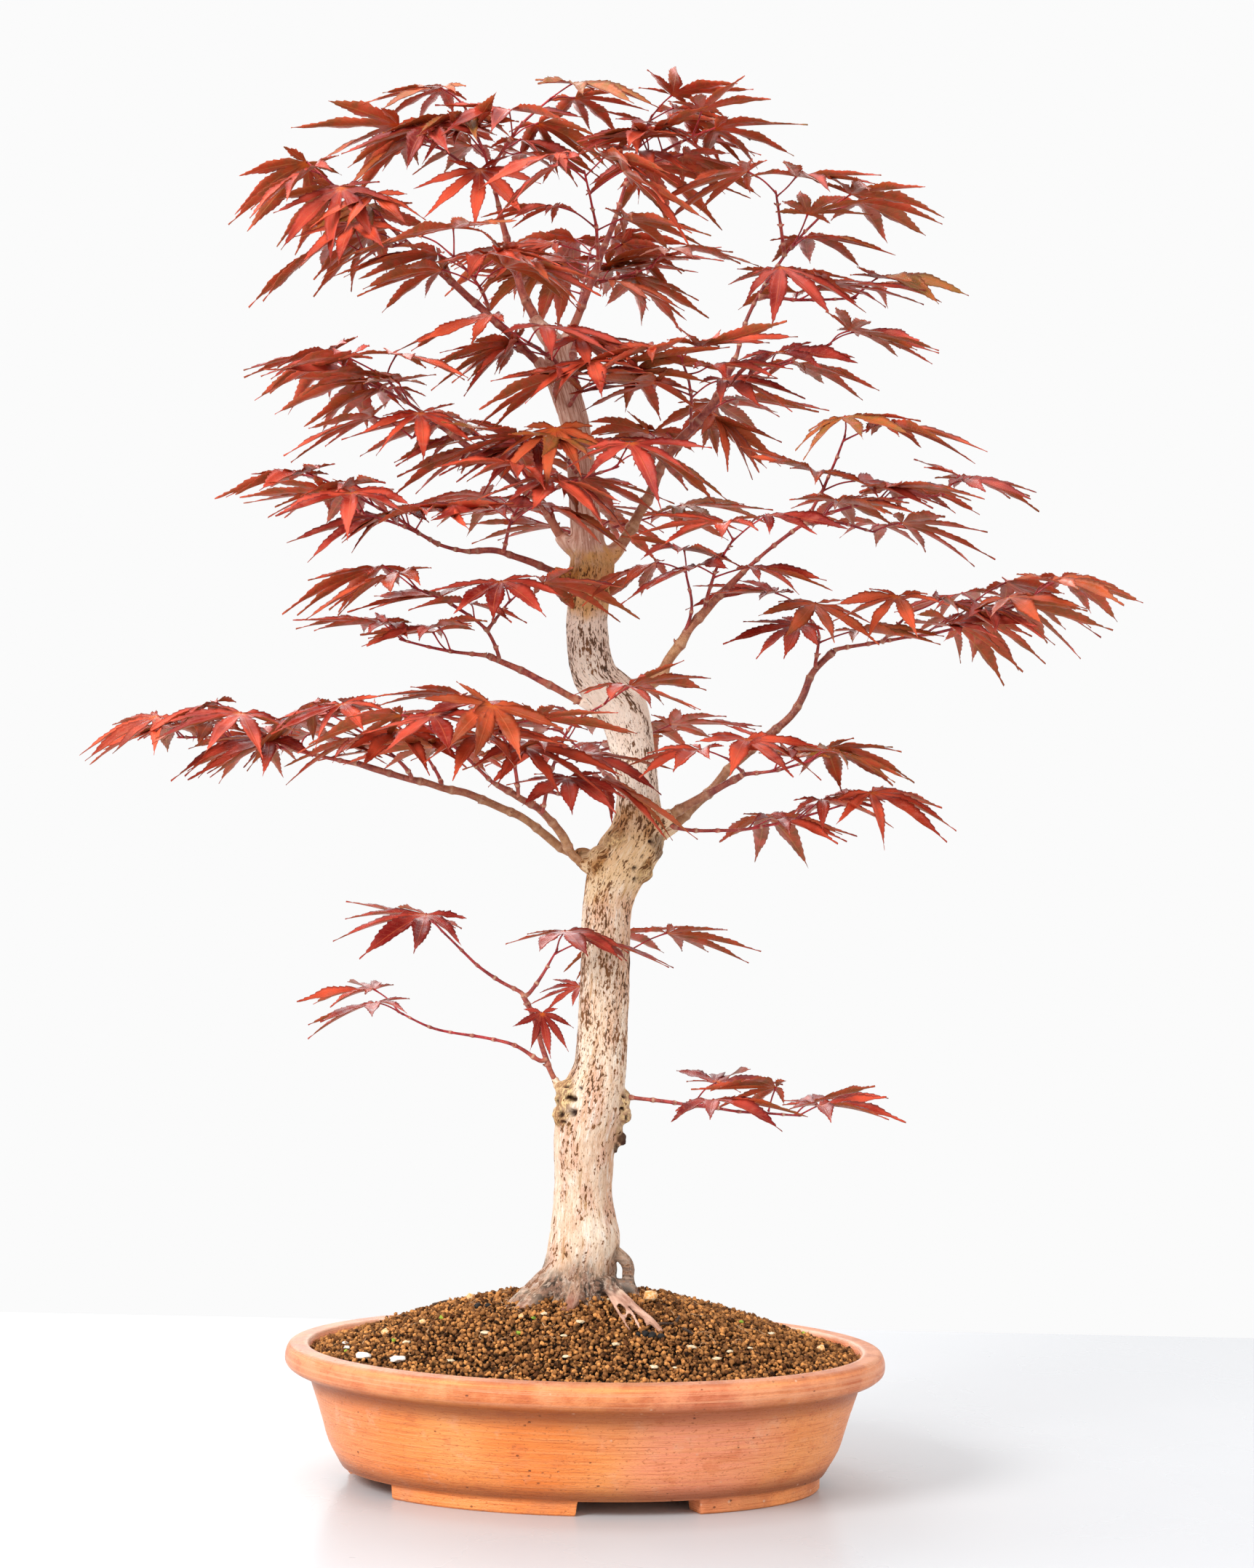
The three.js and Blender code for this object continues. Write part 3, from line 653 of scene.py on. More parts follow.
def soilMaterial(name, dark, light):
    material, tree, shader = startMaterial(name, 0.93, 0.15)
    tint, lift, _, _ = readMarks(tree)
    place = placeOn(tree)
    colour = blendColours(tree, tint, dark, light)
    fine = speckle(tree, place, 900, 4, 0.65)
    # painted shade: lower grains and the undersides of every grain darken towards near black, as shade in the
    # gaps between grains
    colour = coat(tree, colour, (fine, 0.35, 0.7, 0.5, "a8774c"), (lift, 0.68, 0.1, 0.94, "120905"))
    addFinish(tree, shader, colour, fine, 0.86, 0.98)
    raiseBump(tree, shader, fine, 0.0005, 0.8)
    return material


def makeSoilBed(material):
    stock = newStock()
    rings, turns, skirt = soilShape["rings"], soilShape["turns"], soilShape["skirt"]
    angle = np.linspace(0, 2 * math.pi, turns, endpoint=False)
    points = []
    for ring in range(1, rings + 1):
        share = ring / rings
        x, y = soilHalfLength * share * np.cos(angle), soilHalfWidth * share * np.sin(angle)
        points.append(np.stack([x, y, soilHeight(x, y) - soilShape["bedDrop"]], -1))
    for inset, level in skirt:
        x, y = ovalPoint(np.full(turns, potHalfLength - inset), angle)
        points.append(np.stack([x, y, np.full(turns, float(level))], -1))
    middles = [(0, 0, float(soilHeight(0, 0)) - soilShape["bedDrop"]), (0, 0, skirt[-1][1])]
    points = np.vstack([*points, middles])
    faces = []
    layers = rings + len(skirt)
    for layer in range(layers - 1):
        for i in range(turns):
            j = (i + 1) % turns
            here, below = layer * turns, (layer + 1) * turns
            faces.append((here + i, below + i, below + j, here + j))
    for i in range(turns):
        j = (i + 1) % turns
        faces.append((i, j, layers * turns))
        faces.append(((layers - 1) * turns + j, (layers - 1) * turns + i, layers * turns + 1))
    # the bed is painted near black throughout, as shade in the gaps between the grains
    addShape(stock, points, faces, (0.3, 0, 0, 1))
    showStock("soilBed", stock, material, ["soil"])


def ballPattern(rounds):  # a ball of triangles with a radius of 1
    work = bmesh.new()
    bmesh.ops.create_icosphere(work, subdivisions=rounds, radius=1)
    points = np.array([v.co[:] for v in work.verts])
    faces = np.array([[v.index for v in face.verts] for face in work.faces])
    work.free()
    return points, faces


def turnsAtRandom(count):
    q = dice.normal(size=(count, 4))
    q /= np.linalg.norm(q, axis=1)[:, None]
    w, x, y, z = q.T
    return np.stack([
        1 - 2 * (y * y + z * z), 2 * (x * y - z * w), 2 * (x * z + y * w),
        2 * (x * y + z * w), 1 - 2 * (x * x + z * z), 2 * (y * z - x * w),
        2 * (x * z - y * w), 2 * (y * z + x * w), 1 - 2 * (x * x + y * y)], -1).reshape(count, 3, 3)


def addGrains(stock, centres, sizes, tints, lightLevels, rounds=1, lumpy=0.24, flat=1.0):
    ball, faces = ballPattern(rounds)
    count = len(centres)
    shapes = ball[None] * (1 + dice.normal(0, lumpy / 2, (count, len(ball), 1)))
    shapes = shapes * dice.uniform(0.78, 1.15, (count, 1, 3)) * sizes[:, None, None]
    shapes = np.einsum("nij,nkj->nki", turnsAtRandom(count), shapes) * (1, 1, flat) + centres[:, None, :]
    marks = np.zeros((count, len(ball), 4))
    marks[..., 0] = np.asarray(tints)[:, None]
    # how lit each point is, for the painted shade: the grain's level plus its height on the grain
    marks[..., 1] = np.asarray(lightLevels)[:, None] + 0.4 * ball[None, :, 2]
    marks[..., 3] = 1
    start = stock["count"] + np.arange(count)[:, None, None] * len(ball)
    stock["points"].append(shapes.reshape(-1, 3))
    stock["marks"].append(marks.reshape(-1, 4))
    stock["faces"].extend(map(tuple, (faces[None] + start).reshape(-1, 3).tolist()))
    stock["count"] += count * len(ball)


def scatterGrains(spacing):  # a shaken honeycomb over the oval, clear of the trunk
    places = []
    row = 0
    y = -soilHalfWidth
    while y < soilHalfWidth:
        x = -soilHalfLength + (row % 2) * spacing / 2
        while x < soilHalfLength:
            places.append((x, y))
            x += spacing
        y += spacing * 0.87
        row += 1
    places = np.array(places) + dice.uniform(-0.4, 0.4, (len(places), 2)) * spacing
    out = (places[:, 0] / (soilHalfLength - 0.8)) ** 2 + (places[:, 1] / (soilHalfWidth - 0.8)) ** 2
    nearTrunk = np.hypot(places[:, 0], places[:, 1] * 1.05) < soilShape["trunkClear"]
    return places[(out < 1) & ~nearTrunk]


def makeSoilGrains(material):
    for layer, (spacing, drop, size) in enumerate(soilShape["layers"]):
        places = scatterGrains(spacing)
        count = len(places)
        sizes = size * dice.uniform(0.6, 1.28, count)
        z = soilHeight(places[:, 0], places[:, 1]) + drop + dice.normal(0, 0.5, count)
        # the lower layer of grains is painted darker, as shade under the top grains
        lightLevels = 0.66 + 0.26 * dice.uniform(-1, 1, count) + (0 if layer != 1 else -0.5)
        stock = newStock()
        tints = dice.uniform(0, 1, count) ** 1.5
        addGrains(stock, np.column_stack([places, z]), sizes, tints, lightLevels, lumpy=0.4)
        showStock(f"soilGrains{layer + 1}", stock, material)
        print("soil layer", layer + 1, "has", count, "grains")


soilBits = {  # two colours, roughness, then places in millimetres from the pot's middle, with a size
    "shell": (("f2ead9", "ffffff"), 0.35, [
        (-128, -52, 4.6), (-107, -67, 5.2), (-136, -60, 2.6), (-140, -30, 2.4), (-142, -20, 2.2),
        (-28, 12, 2.2), (62, 40, 2.4), (-60, 70, 2.6), (104, 36, 2.0)]),
    "pumice": (("ea9a40", "fbe3b8"), 0.8, [
        (-118, -25, 3.0), (-96, -26, 2.6), (38, -14, 5.0), (-132, -76, 2.2), (-37, -46, 2.4), (-70, 14, 2.6),
        (-25, -4, 3.2), (90, 60, 3.0), (-20, 84, 3.2), (140, -14, 2.4), (20, 92, 2.2)]),
    "creamChip": (("d9bd8f", "f6ead0"), 0.85, [
        (-33, -4, 2.0), (0, -4, 2.6), (30, -8, 1.8), (14, -24, 1.8), (76, -72, 2.8), (-10, -84, 2.0),
        (106, -92, 2.4), (96, -52, 1.6), (120, -80, 2.0), (52, -86, 1.6), (-80, 40, 1.8), (60, 72, 2.0),
        (-24, -44, 2.6), (-3, -52, 2.8), (62, -66, 3.0), (-58, -58, 2.4), (18, -72, 2.6), (84, -62, 2.2),
        (-104, -48, 2.6), (40, -88, 2.8), (-76, -78, 2.2), (110, -20, 2.4), (-12, -66, 2.2)]),
    "mossFleck": (("5f7f1e", "b9cf4a"), 0.9, [
        (-85, -26, 1.5), (-112, -40, 1.5), (-8, -4, 1.3), (-38, -62, 1.7), (-30, -48, 1.4), (86, -90, 1.3),
        (92, -16, 1.5), (-140, -36, 1.3), (132, 30, 1.6), (-44, 66, 1.6)]),
    "charBit": (("0d0c0c", "26201c"), 0.7, [
        (-64, -20, 2.4), (-58, -22, 2.0), (-12, -8, 2.2), (54, 50, 2.2), (35, -60, 2.2), (39, -61, 2.8),
        (44, -61, 2.6), (31, -61, 1.6)]),
}


def chipMaterial(name, colours, roughness):
    material, tree, shader = startMaterial(name, roughness, 0.4)
    fine = speckle(tree, placeOn(tree), 700, 4, 0.6)
    tint = readMarks(tree)[0]
    colour = wash(tree, twoTone(tree, fine, 0.35, 0.65, *colours), tint, 0.3, colours[0])
    addFinish(tree, shader, colour, fine, roughness - 0.1, min(roughness + 0.1, 1))
    raiseBump(tree, shader, fine, 0.0004, 0.7)
    return material


def makeSoilBits(kinds):
    for kind, (colours, roughness, places) in kinds.items():
        stock = newStock()
        spots = np.array(places)
        count = len(spots)
        z = soilHeight(spots[:, 0], spots[:, 1]) + 0.9 + spots[:, 2] * 0.22
        centres = np.column_stack([spots[:, :2], z])
        flat, lumpy = (0.36, 0.36) if kind in ("shell", "creamChip") else (0.8, 0.24)
        addGrains(stock, centres, spots[:, 2], dice.uniform(0, 1, count), np.ones(count), 2, lumpy, flat)
        showStock(kind, stock, chipMaterial(kind, colours, roughness))


rootHairs = {  # dry ones, lying on the soil
    "count": 70,
    "steps": 7,
    "stepLength": (1.2, 2.6),  # least and most
    "bend": 0.9,  # the sharpest turn between two steps, in radians
    "radii": (0.28, 0.12),
    "within": (0.2, 0.85),  # of the soil's half length and half width
}


def makeRootHairs(hairs):
    stock = newStock()
    for _ in range(hairs["count"]):
        turn, out = dice.uniform(0, 2 * math.pi), dice.uniform(*hairs["within"])
        x, y = soilHalfLength * out * math.cos(turn), soilHalfWidth * out * math.sin(turn)
        heading = dice.uniform(0, 2 * math.pi)
        route = []
        for _ in range(hairs["steps"]):
            route.append((x, y, float(soilHeight(x, y)) + 1.7 + dice.uniform(0, 0.5)))
            heading += dice.uniform(-hairs["bend"], hairs["bend"])
            step = dice.uniform(*hairs["stepLength"])
            x, y = x + step * math.cos(heading), y + step * math.sin(heading)
        line = smoothRoute(route, 4)
        addTube(stock, line, np.linspace(*hairs["radii"], len(line)), 5, (dice.uniform(0, 1), 1, 0, 1))
    showStock("rootHairs", stock, chipMaterial("rootHair", ("8a5c3a", "d8b58a"), 0.8))


brokenTwigs = {
    "places": (  # x, y, heading in degrees and length
        (46, -48, 20, 12), (54, -40, 75, 8), (60, -52, -35, 7), (-88, 22, 10, 11)),
    "radii": (0.95, 0.6),
    "lift": 1.9,  # above the soil
}


def makeBrokenTwigs(twigs):
    stock = newStock()
    for x, y, heading, length in twigs["places"]:
        turn = math.radians(heading)
        dx, dy = length * math.cos(turn), length * math.sin(turn)
        route = [(x + s * dx, y + s * dy) for s in (-0.5, -0.1, 0.2, 0.5)]
        line = smoothRoute(
            [(a, b + 0.5 * dice.normal(), float(soilHeight(a, b)) + twigs["lift"]) for a, b in route], 4)
        addTube(stock, line, np.linspace(*twigs["radii"], len(line)), 8, (dice.uniform(0, 1), 1, 0, 1))
    showStock("brokenTwigs", stock, chipMaterial("deadTwig", ("1d1411", "5d4434"), 0.85))


makeSoilBed(soilMaterial("soilShade", "1d100a", "2c190f"))
makeSoilGrains(soilMaterial("bakedClayGrain", *soilShape["colours"]))
makeSoilBits(soilBits)
makeRootHairs(rootHairs)
makeBrokenTwigs(brokenTwigs)
print("the soil is filled in")


# The tree: how its trunk, roots, limbs and twigs run

trunkRings = (  # x, y, z and radius, from the buried root crown up to the top of the old wood
    (0, 0, 58, 34), (0, 0, 74, 50), (-3, 0, 96, 38), (-5, -1, 110, 28), (-5, -1, 120, 23),
    (-3.6, 0, 134, 21.2), (-2, 0, 146, 21.4), (-2.5, 0, 156, 19.6), (-3.4, 0, 171, 17.5), (-3, 0, 185, 17.4),
    (-3, -1, 206, 18.4), (1, -2, 230, 19.2), (5, -2, 246, 16), (6, -1, 262, 15), (7, 0, 300, 14.6),
    (8, 2, 347, 14.8), (14, 3, 368, 17.5), (23, 4, 384, 17.5), (25, 5, 398, 14.5),
    (24, 6, 418, 12.8), (20, 5, 442, 13.3), (13, 3, 465, 15.2),
    (-3, 0, 483, 13.2), (-8, -1, 510, 12.3), (-7, -2, 535, 12.4), (-6, -2, 547, 13.6), (-8, -1, 560, 10.4),
    (-12, 0, 590, 8.6), (-16, 1, 625, 8.2), (-23, 2, 650, 8.8), (-27, 3, 662, 8.6), (-31, 4, 680, 6))
limbRoutes = {  # first and last radius, then the way it grows, in millimetres from the pot's middle
    "low_left": (
        2.4, 1.8, (-10, -2, 222), (-19, -4, 236), (-27, -6, 253), (-35, -8, 278), (-41, -9, 290)),
    "left_pad_inner": (
        4.2, 2.2, (8, 0, 362), (-12, -8, 374), (-26, -20, 395), (-39, -30, 405), (-58, -46, 416)),
    "left_pad_long": (
        3.8, 2.2, (8, 2, 368), (-21, 2, 379), (-39, -4, 393), (-58, -9, 403), (-75, -12, 409),
        (-118, -18, 420), (-142, -22, 427)),
    "right_pad": (4.8, 2.4, (24, 0, 386), (40, -6, 397), (56, -12, 407), (85, -18, 424)),
    "right_arc": (
        4.4, 2.4, (26, 8, 384), (44, 12, 392), (60, 14, 406), (80, 16, 430), (118, 18, 464),
        (129, 18, 488), (141, 16, 501)),
    "left_mid": (3.2, 2.1, (0, 0, 462), (-18, -4, 470), (-40, -8, 481), (-67, -8, 493)),
    "right_mid": (5.4, 2.4, (12, 0, 468), (34, -6, 482), (46, -10, 500), (60, -14, 520), (84, -16, 545)),
    "left_upper_mid": (
        3.2, 2.1, (-6, -4, 536), (-22, -8, 542), (-49, -14, 551), (-63, -16, 555), (-78, -16, 554)),
    "left_upper": (
        4.2, 2.3, (-8, -2, 554), (-22, -4, 562), (-34, -6, 580), (-50, -8, 594), (-91, -14, 624)),
    "right_upper": (
        5, 2.7, (-4, 2, 548), (10, 4, 560), (24, 4, 583), (38, 2, 615), (63, -2, 644), (77, -6, 673)),
    "back_low": (4.4, 2.4, (22, 10, 402), (16, 34, 414), (4, 60, 424)),
    "back_mid": (4.4, 2.4, (-7, 4, 528), (-10, 26, 542), (-12, 52, 556)),
    "leader": (4.2, 2.1, (-31.5, 4, 682), (-42, 4, 694), (-56, 2, 726), (-66, 0, 762)),
    "crown_left": (3.8, 2.2, (-26, 0, 656), (-44, -8, 672), (-72, -16, 696), (-108, -22, 726)),
    "crown_right": (3.8, 2.1, (-29, 6, 674), (-20, 6, 692), (-8, 2, 722), (4, -2, 756)),
    "back_upper": (3.8, 2.2, (-24, 8, 656), (-22, 26, 672), (-20, 50, 700)),
}
sprayTwigs = {  # each twig: its leaf pairs, how far the blades droop in degrees, then the way it grows
    "low_left_tip": [
        (1, 4, (-42, -9, 292), (-62, -10, 303), (-90, -12, 328)),
    ],
    "low_left_fork": [
        (1, 6, (-38, -7, 292), (-30, -6, 304), (-22, -12, 318)),
    ],
    "low_left_lower": [
        (1, 6, (-30, -8, 252), (-47, -12, 262), (-94, -18, 271), (-114, -20, 280)),
    ],
    "low_right": [
        (2, 2, (14, -3, 232), (66, -8, 227), (86, -10, 225), (124, -12, 223)),
    ],
    "low_back": [
        (1, 24, (4, 12, 300), (14, 34, 310), (22, 48, 316)),
    ],
    "left_pad_tip": [
        (3, 15, (-144, -22, 427), (-180, -26, 434), (-214, -28, 440), (-246, -28, 440)),
        (1, 11, (-180, -26, 434), (-204, -46, 448)),
        (2, 11, (-170, -25, 432), (-186, 4, 440)),
    ],
    "left_pad_middle": [
        (2, 21, (-110, -20, 420), (-124, -38, 436), (-146, -54, 450)),
    ],
    "left_pad_back": [
        (2, 11, (-92, -12, 414), (-104, 12, 434), (-122, 36, 450)),
    ],
    "left_pad_front": [
        (2, 22, (-60, -48, 417), (-78, -70, 434), (-96, -92, 448)),
        (1, 26, (-78, -70, 434), (-54, -96, 446)),
    ],
    "left_pad_inner_top": [
        (2, 11, (-46, -38, 410), (-50, -50, 434), (-64, -58, 458)),
    ],
    "left_pad_cross": [
        (2, 4, (-32, -28, 400), (-26, -46, 426), (-14, -58, 452), (4, -64, 464)),
        (1, 20, (-29, -37, 413), (-14, -50, 410)),
    ],
    "right_pad_top": [
        (2, 6, (87, -19, 425), (106, -22, 428), (126, -24, 434)),
        (1, 11, (87, -19, 425), (76, -46, 434)),
    ],
    "right_pad_low": [
        (3, 8, (46, -2, 393), (74, 0, 391), (98, 2, 394), (122, 2, 400), (150, 0, 409)),
    ],
    "right_arc_tip": [
        (4, 16, (143, 16, 502), (170, 14, 507), (214, 6, 516), (240, 0, 526), (258, -4, 534)),
        (1, 11, (214, 6, 516), (228, 32, 534)),
        (1, 30, (170, 14, 507), (184, -14, 524)),
    ],
    "right_arc_side": [
        (2, 16, (130, 15, 492), (131, 2, 510), (122, -10, 522)),
    ],
    "right_mid_tip": [
        (3, 11, (86, -17, 547), (120, -22, 574), (160, -26, 588), (200, -28, 592)),
        (2, 4, (120, -22, 574), (132, -44, 600), (140, -54, 622)),
        (1, 11, (120, -22, 574), (142, 12, 578), (164, 24, 574)),
    ],
    "right_mid_front": [
        (2, 11, (62, -17, 524), (68, -46, 546), (76, -68, 560)),
    ],
    "right_mid_up": [
        (1, 11, (47, -10, 502), (54, -18, 522), (50, -22, 544)),
    ],
    "left_mid_tip": [
        (2, 4, (-69, -8, 493), (-89, -8, 495), (-118, -8, 501)),
    ],
    "left_mid_up": [
        (2, 6, (-60, -10, 492), (-67, -18, 507), (-88, -26, 522), (-110, -30, 531)),
        (1, 11, (-67, -18, 507), (-53, -38, 524)),
    ],
    "left_upper_mid_tip": [
        (3, 6, (-80, -16, 554), (-97, -16, 558), (-124, -18, 574), (-160, -20, 592)),
        (2, 14, (-97, -16, 558), (-116, -46, 566), (-140, -56, 572)),
    ],
    "left_upper_mid_front": [
        (2, 11, (-58, -18, 555), (-52, -44, 572), (-40, -66, 588)),
        (2, 11, (-52, -44, 572), (-22, -62, 590), (8, -70, 600)),
    ],
    "left_upper_tip": [
        (3, 11, (-93, -14, 625), (-118, -18, 642), (-150, -20, 656)),
        (1, 11, (-118, -18, 642), (-128, -50, 652)),
        (1, 20, (-100, -15, 631), (-112, -40, 618)),
    ],
    "left_upper_back": [
        (2, 11, (-50, -4, 596), (-62, 22, 616), (-84, 40, 634)),
    ],
    "right_upper_tip": [
        (3, 4, (78, -6, 675), (84, -8, 698), (105, -12, 734), (130, -16, 762)),
        (2, 4, (90, -10, 710), (118, 0, 710), (148, 4, 712)),
        (1, 12, (105, -12, 734), (98, -38, 766)),
    ],
    "right_upper_side": [
        (2, 11, (70, -5, 656), (100, -14, 668), (132, -22, 680)),
    ],
    "right_upper_front": [
        (2, 11, (52, -2, 632), (50, -34, 652), (44, -58, 666)),
    ],
    "right_upper_back": [
        (2, 11, (34, 6, 606), (46, 32, 630), (66, 50, 650)),
    ],
    "leader_tip": [
        (3, 11, (-66.5, 0, 764), (-74, -2, 790), (-88, -4, 822)),
        (1, 16, (-70, -1, 776), (-104, -22, 794)),
        (2, 4, (-72, -1, 782), (-54, -10, 808), (-36, -14, 824)),
    ],
    "crown_left_tip": [
        (3, 30, (-109, -22, 727), (-134, -26, 748), (-166, -28, 770)),
        (1, 36, (-118, -24, 734), (-146, -34, 728)),
    ],
    "crown_left_front": [
        (2, 11, (-70, -18, 697), (-78, -44, 712), (-90, -60, 722)),
    ],
    "crown_right_tip": [
        (3, 11, (4.5, -2, 758), (14, -4, 790), (24, -6, 816)),
        (2, 11, (10, -3, 776), (32, -26, 792), (48, -36, 798)),
    ],
    "crown_right_front": [
        (2, 11, (-6, 0, 726), (-8, -32, 750), (-14, -56, 772)),
    ],
    "back_upper_tip": [
        (3, 11, (-20, 52, 701), (-16, 80, 728), (-12, 104, 756)),
        (1, 11, (-16, 80, 728), (-52, 92, 744)),
        (1, 11, (-16, 80, 728), (26, 86, 742)),
    ],
    "back_mid_tip": [
        (2, 11, (-12, 54, 557), (-14, 80, 572), (-18, 106, 584)),
        (1, 11, (-14, 80, 572), (-56, 90, 586)),
        (1, 11, (-14, 80, 572), (30, 90, 586)),
    ],
    "back_low_tip": [
        (2, 11, (3, 62, 425), (-8, 84, 436), (-20, 104, 446)),
        (1, 11, (-8, 84, 436), (26, 92, 446)),
    ],
}
frontRoots = (  # first and last radius, then the way each grows: the bare bundle in front
    (3.2, 1.7, (13, -20, 123), (22, -31, 116.5), (30, -40, 111), (38, -48, 106), (45, -55, 100)),
    (1.7, 1.1, (11, -23, 121), (15.5, -35, 114.5), (20, -46, 109), (26, -55, 101)),
    (1.5, 1, (13, -23, 122), (19, -36, 115.5), (27, -46, 109.5), (32, -55, 102)),
    (1.3, 0.9, (15, -26, 119), (21.5, -37, 113.5), (24, -43, 111), (23, -52, 104)),
    (1.4, 0.9, (20, -31, 117), (25, -38, 114.5), (33, -43, 110.5), (36, -52, 103)),
)
archRoot = (3.6, 3.1, (12, -5, 141), (19.3, -7, 137.3), (24, -8, 131.5), (25, -9, 123), (29.5, -10, 112),
            (42, -11, 95))
trunkRoots = (
    *frontRoots,
    archRoot,
    (9, 4, (-14, -8, 128), (-34, -17, 113), (-54, -25, 97)),
    (6, 2.2, (-18, -14, 121), (-34, -26, 110), (-46, -38, 100)),
    (6, 3, (-4, -16, 124), (-8, -30, 112), (-14, -40, 104)),
    (6, 4, (8, 8, 119), (24, 10, 108), (40, 12, 96)),
    (9, 4, (-6, 16, 124), (-14, 34, 110), (-22, 48, 94)),
    (8, 4, (6, 14, 116), (26, 30, 104), (40, 40, 90)),
)
trunkLumps = (  # middle, half sizes, then how rough, mossy and dark: burls, knuckles and swollen places
    (-13, -8, 231, 8.5, 9, 11, 1, 0, 0),
    (-15.5, -9, 220, 7, 7.5, 6.5, 1, 0, 0),
    (18, -3, 229, 6.5, 8, 7, 0.9, 0, 0),
    (20.5, -4, 221.5, 4.2, 6, 6.5, 0.9, 0, 0),
    (17, -5, 212, 3.2, 4.5, 4.5, 0.6, 0.1, 0.25),
    (18.8, -6, 207, 2.4, 3, 3.2, 0.8, 0, 0.95),
    (19.8, -7, 203.8, 1.4, 2.2, 2.2, 0.8, 0, 1),
    (16, -6, 200.5, 1.7, 2.2, 3.2, 0.8, 0, 0.9),
    (31, 0, 384, 8.5, 9, 9, 0.6, 0.9, 0),
    (35, 0, 378, 5, 6, 5, 0.6, 0.9, 0.1),
    (27, -1, 366, 8, 8, 7, 0.8, 0.2, 0),
    (30, -6, 370, 4, 5, 4, 0.9, 0.1, 0),
    (2, -5, 372, 7, 8, 9, 0.5, 0, 0),
    (-8, -2, 374, 6, 6, 5.5, 0.7, 0.2, 0),
    (12, -8, 385, 7, 6, 6, 0.8, 0, 0),
    (24, 2, 477, 6.5, 7, 5, 0.3, 0.1, 0),
    (2, 0, 461, 7, 6, 6, 0.2, 0, 0),
    (-14, -2, 536, 4.5, 5, 6, 0.4, 0, 0),
    (1, -4, 540, 5, 5, 7, 0.4, 0, 0),
    (-6, -2, 548, 12.5, 12.5, 4, 0.6, 0, 0),
    (-28, 3, 661, 9, 9, 8, 0, 0, 0),
    (13, -22, 121, 7.5, 6.5, 6, 0.2, 0.9, 0.1),
    (20, -6, 114.5, 7, 7, 8.5, 0, 0.4, 0.1),
    (-10, -20, 116, 9, 7, 6, 0.2, 0.3, 0.1),
    (-27, -12, 116, 8, 7, 6, 0.2, 0.2, 0.1),
)
trunkHoles = (  # a point on the bark, half width, half height and depth
    (-11.4, -17, 231, 3.4, 2.2, 4.5),
    (-10.5, -17.5, 222.5, 3, 2.8, 4.5),
    (-17.3, -15, 221.5, 2.6, 2.9, 4),
    (-15.8, -15, 216.5, 2, 1.5, 3),
    (-6, -18, 237.5, 1.6, 1.3, 2),
    (-14.5, -16, 238, 2.2, 1.1, 2.4),
    (-19.8, -12, 228, 1.3, 2.4, 2.4),
    (20, -10, 232, 1.5, 1.1, 2),
    (22, -9, 219, 1.3, 2, 2.4),
    (19, -11, 224.5, 1.7, 1.2, 2),
    (23.5, -13, 368, 2, 1.5, 2.2),
    (33, -9, 384, 2, 1.6, 2.4),
    (8, -15, 379, 1.8, 1.3, 2),
    (28, -9, 375, 1.5, 1.8, 2),
    (-8.5, -14, 532.5, 1.7, 1.5, 2),
    (4, -13, 486, 1.5, 1.9, 2.2),
    (24, -9, 361, 1.3, 1.6, 1.8),
    (-10, -9, 368, 1.4, 1.5, 1.8),
)


def trunkAxis(height):
    rings = np.array(trunkRings, float)
    return np.stack([np.interp(height, rings[:, 2], rings[:, i]) for i in (0, 1, 3)], -1)


barkBands = {  # metres above the table, and how softly each band ends
    # pale: painted light, a brighter band over the upper trunk against the shade the leaves cast on it
    "pale": (0.400, 0.530, 0.02),
    "fork": (0.350, 0.402, 0.012),
    "crook": (0.520, 0.556, 0.008),
    "crookScabs": (0.524, 0.556, 0.008),
    "manyMarksLow": (0.240, 0.345, 0.03),
    "manyMarksHigh": (0.474, 0.548, 0.012),
    "fewMarks": (0.350, 0.462, 0.01),
}


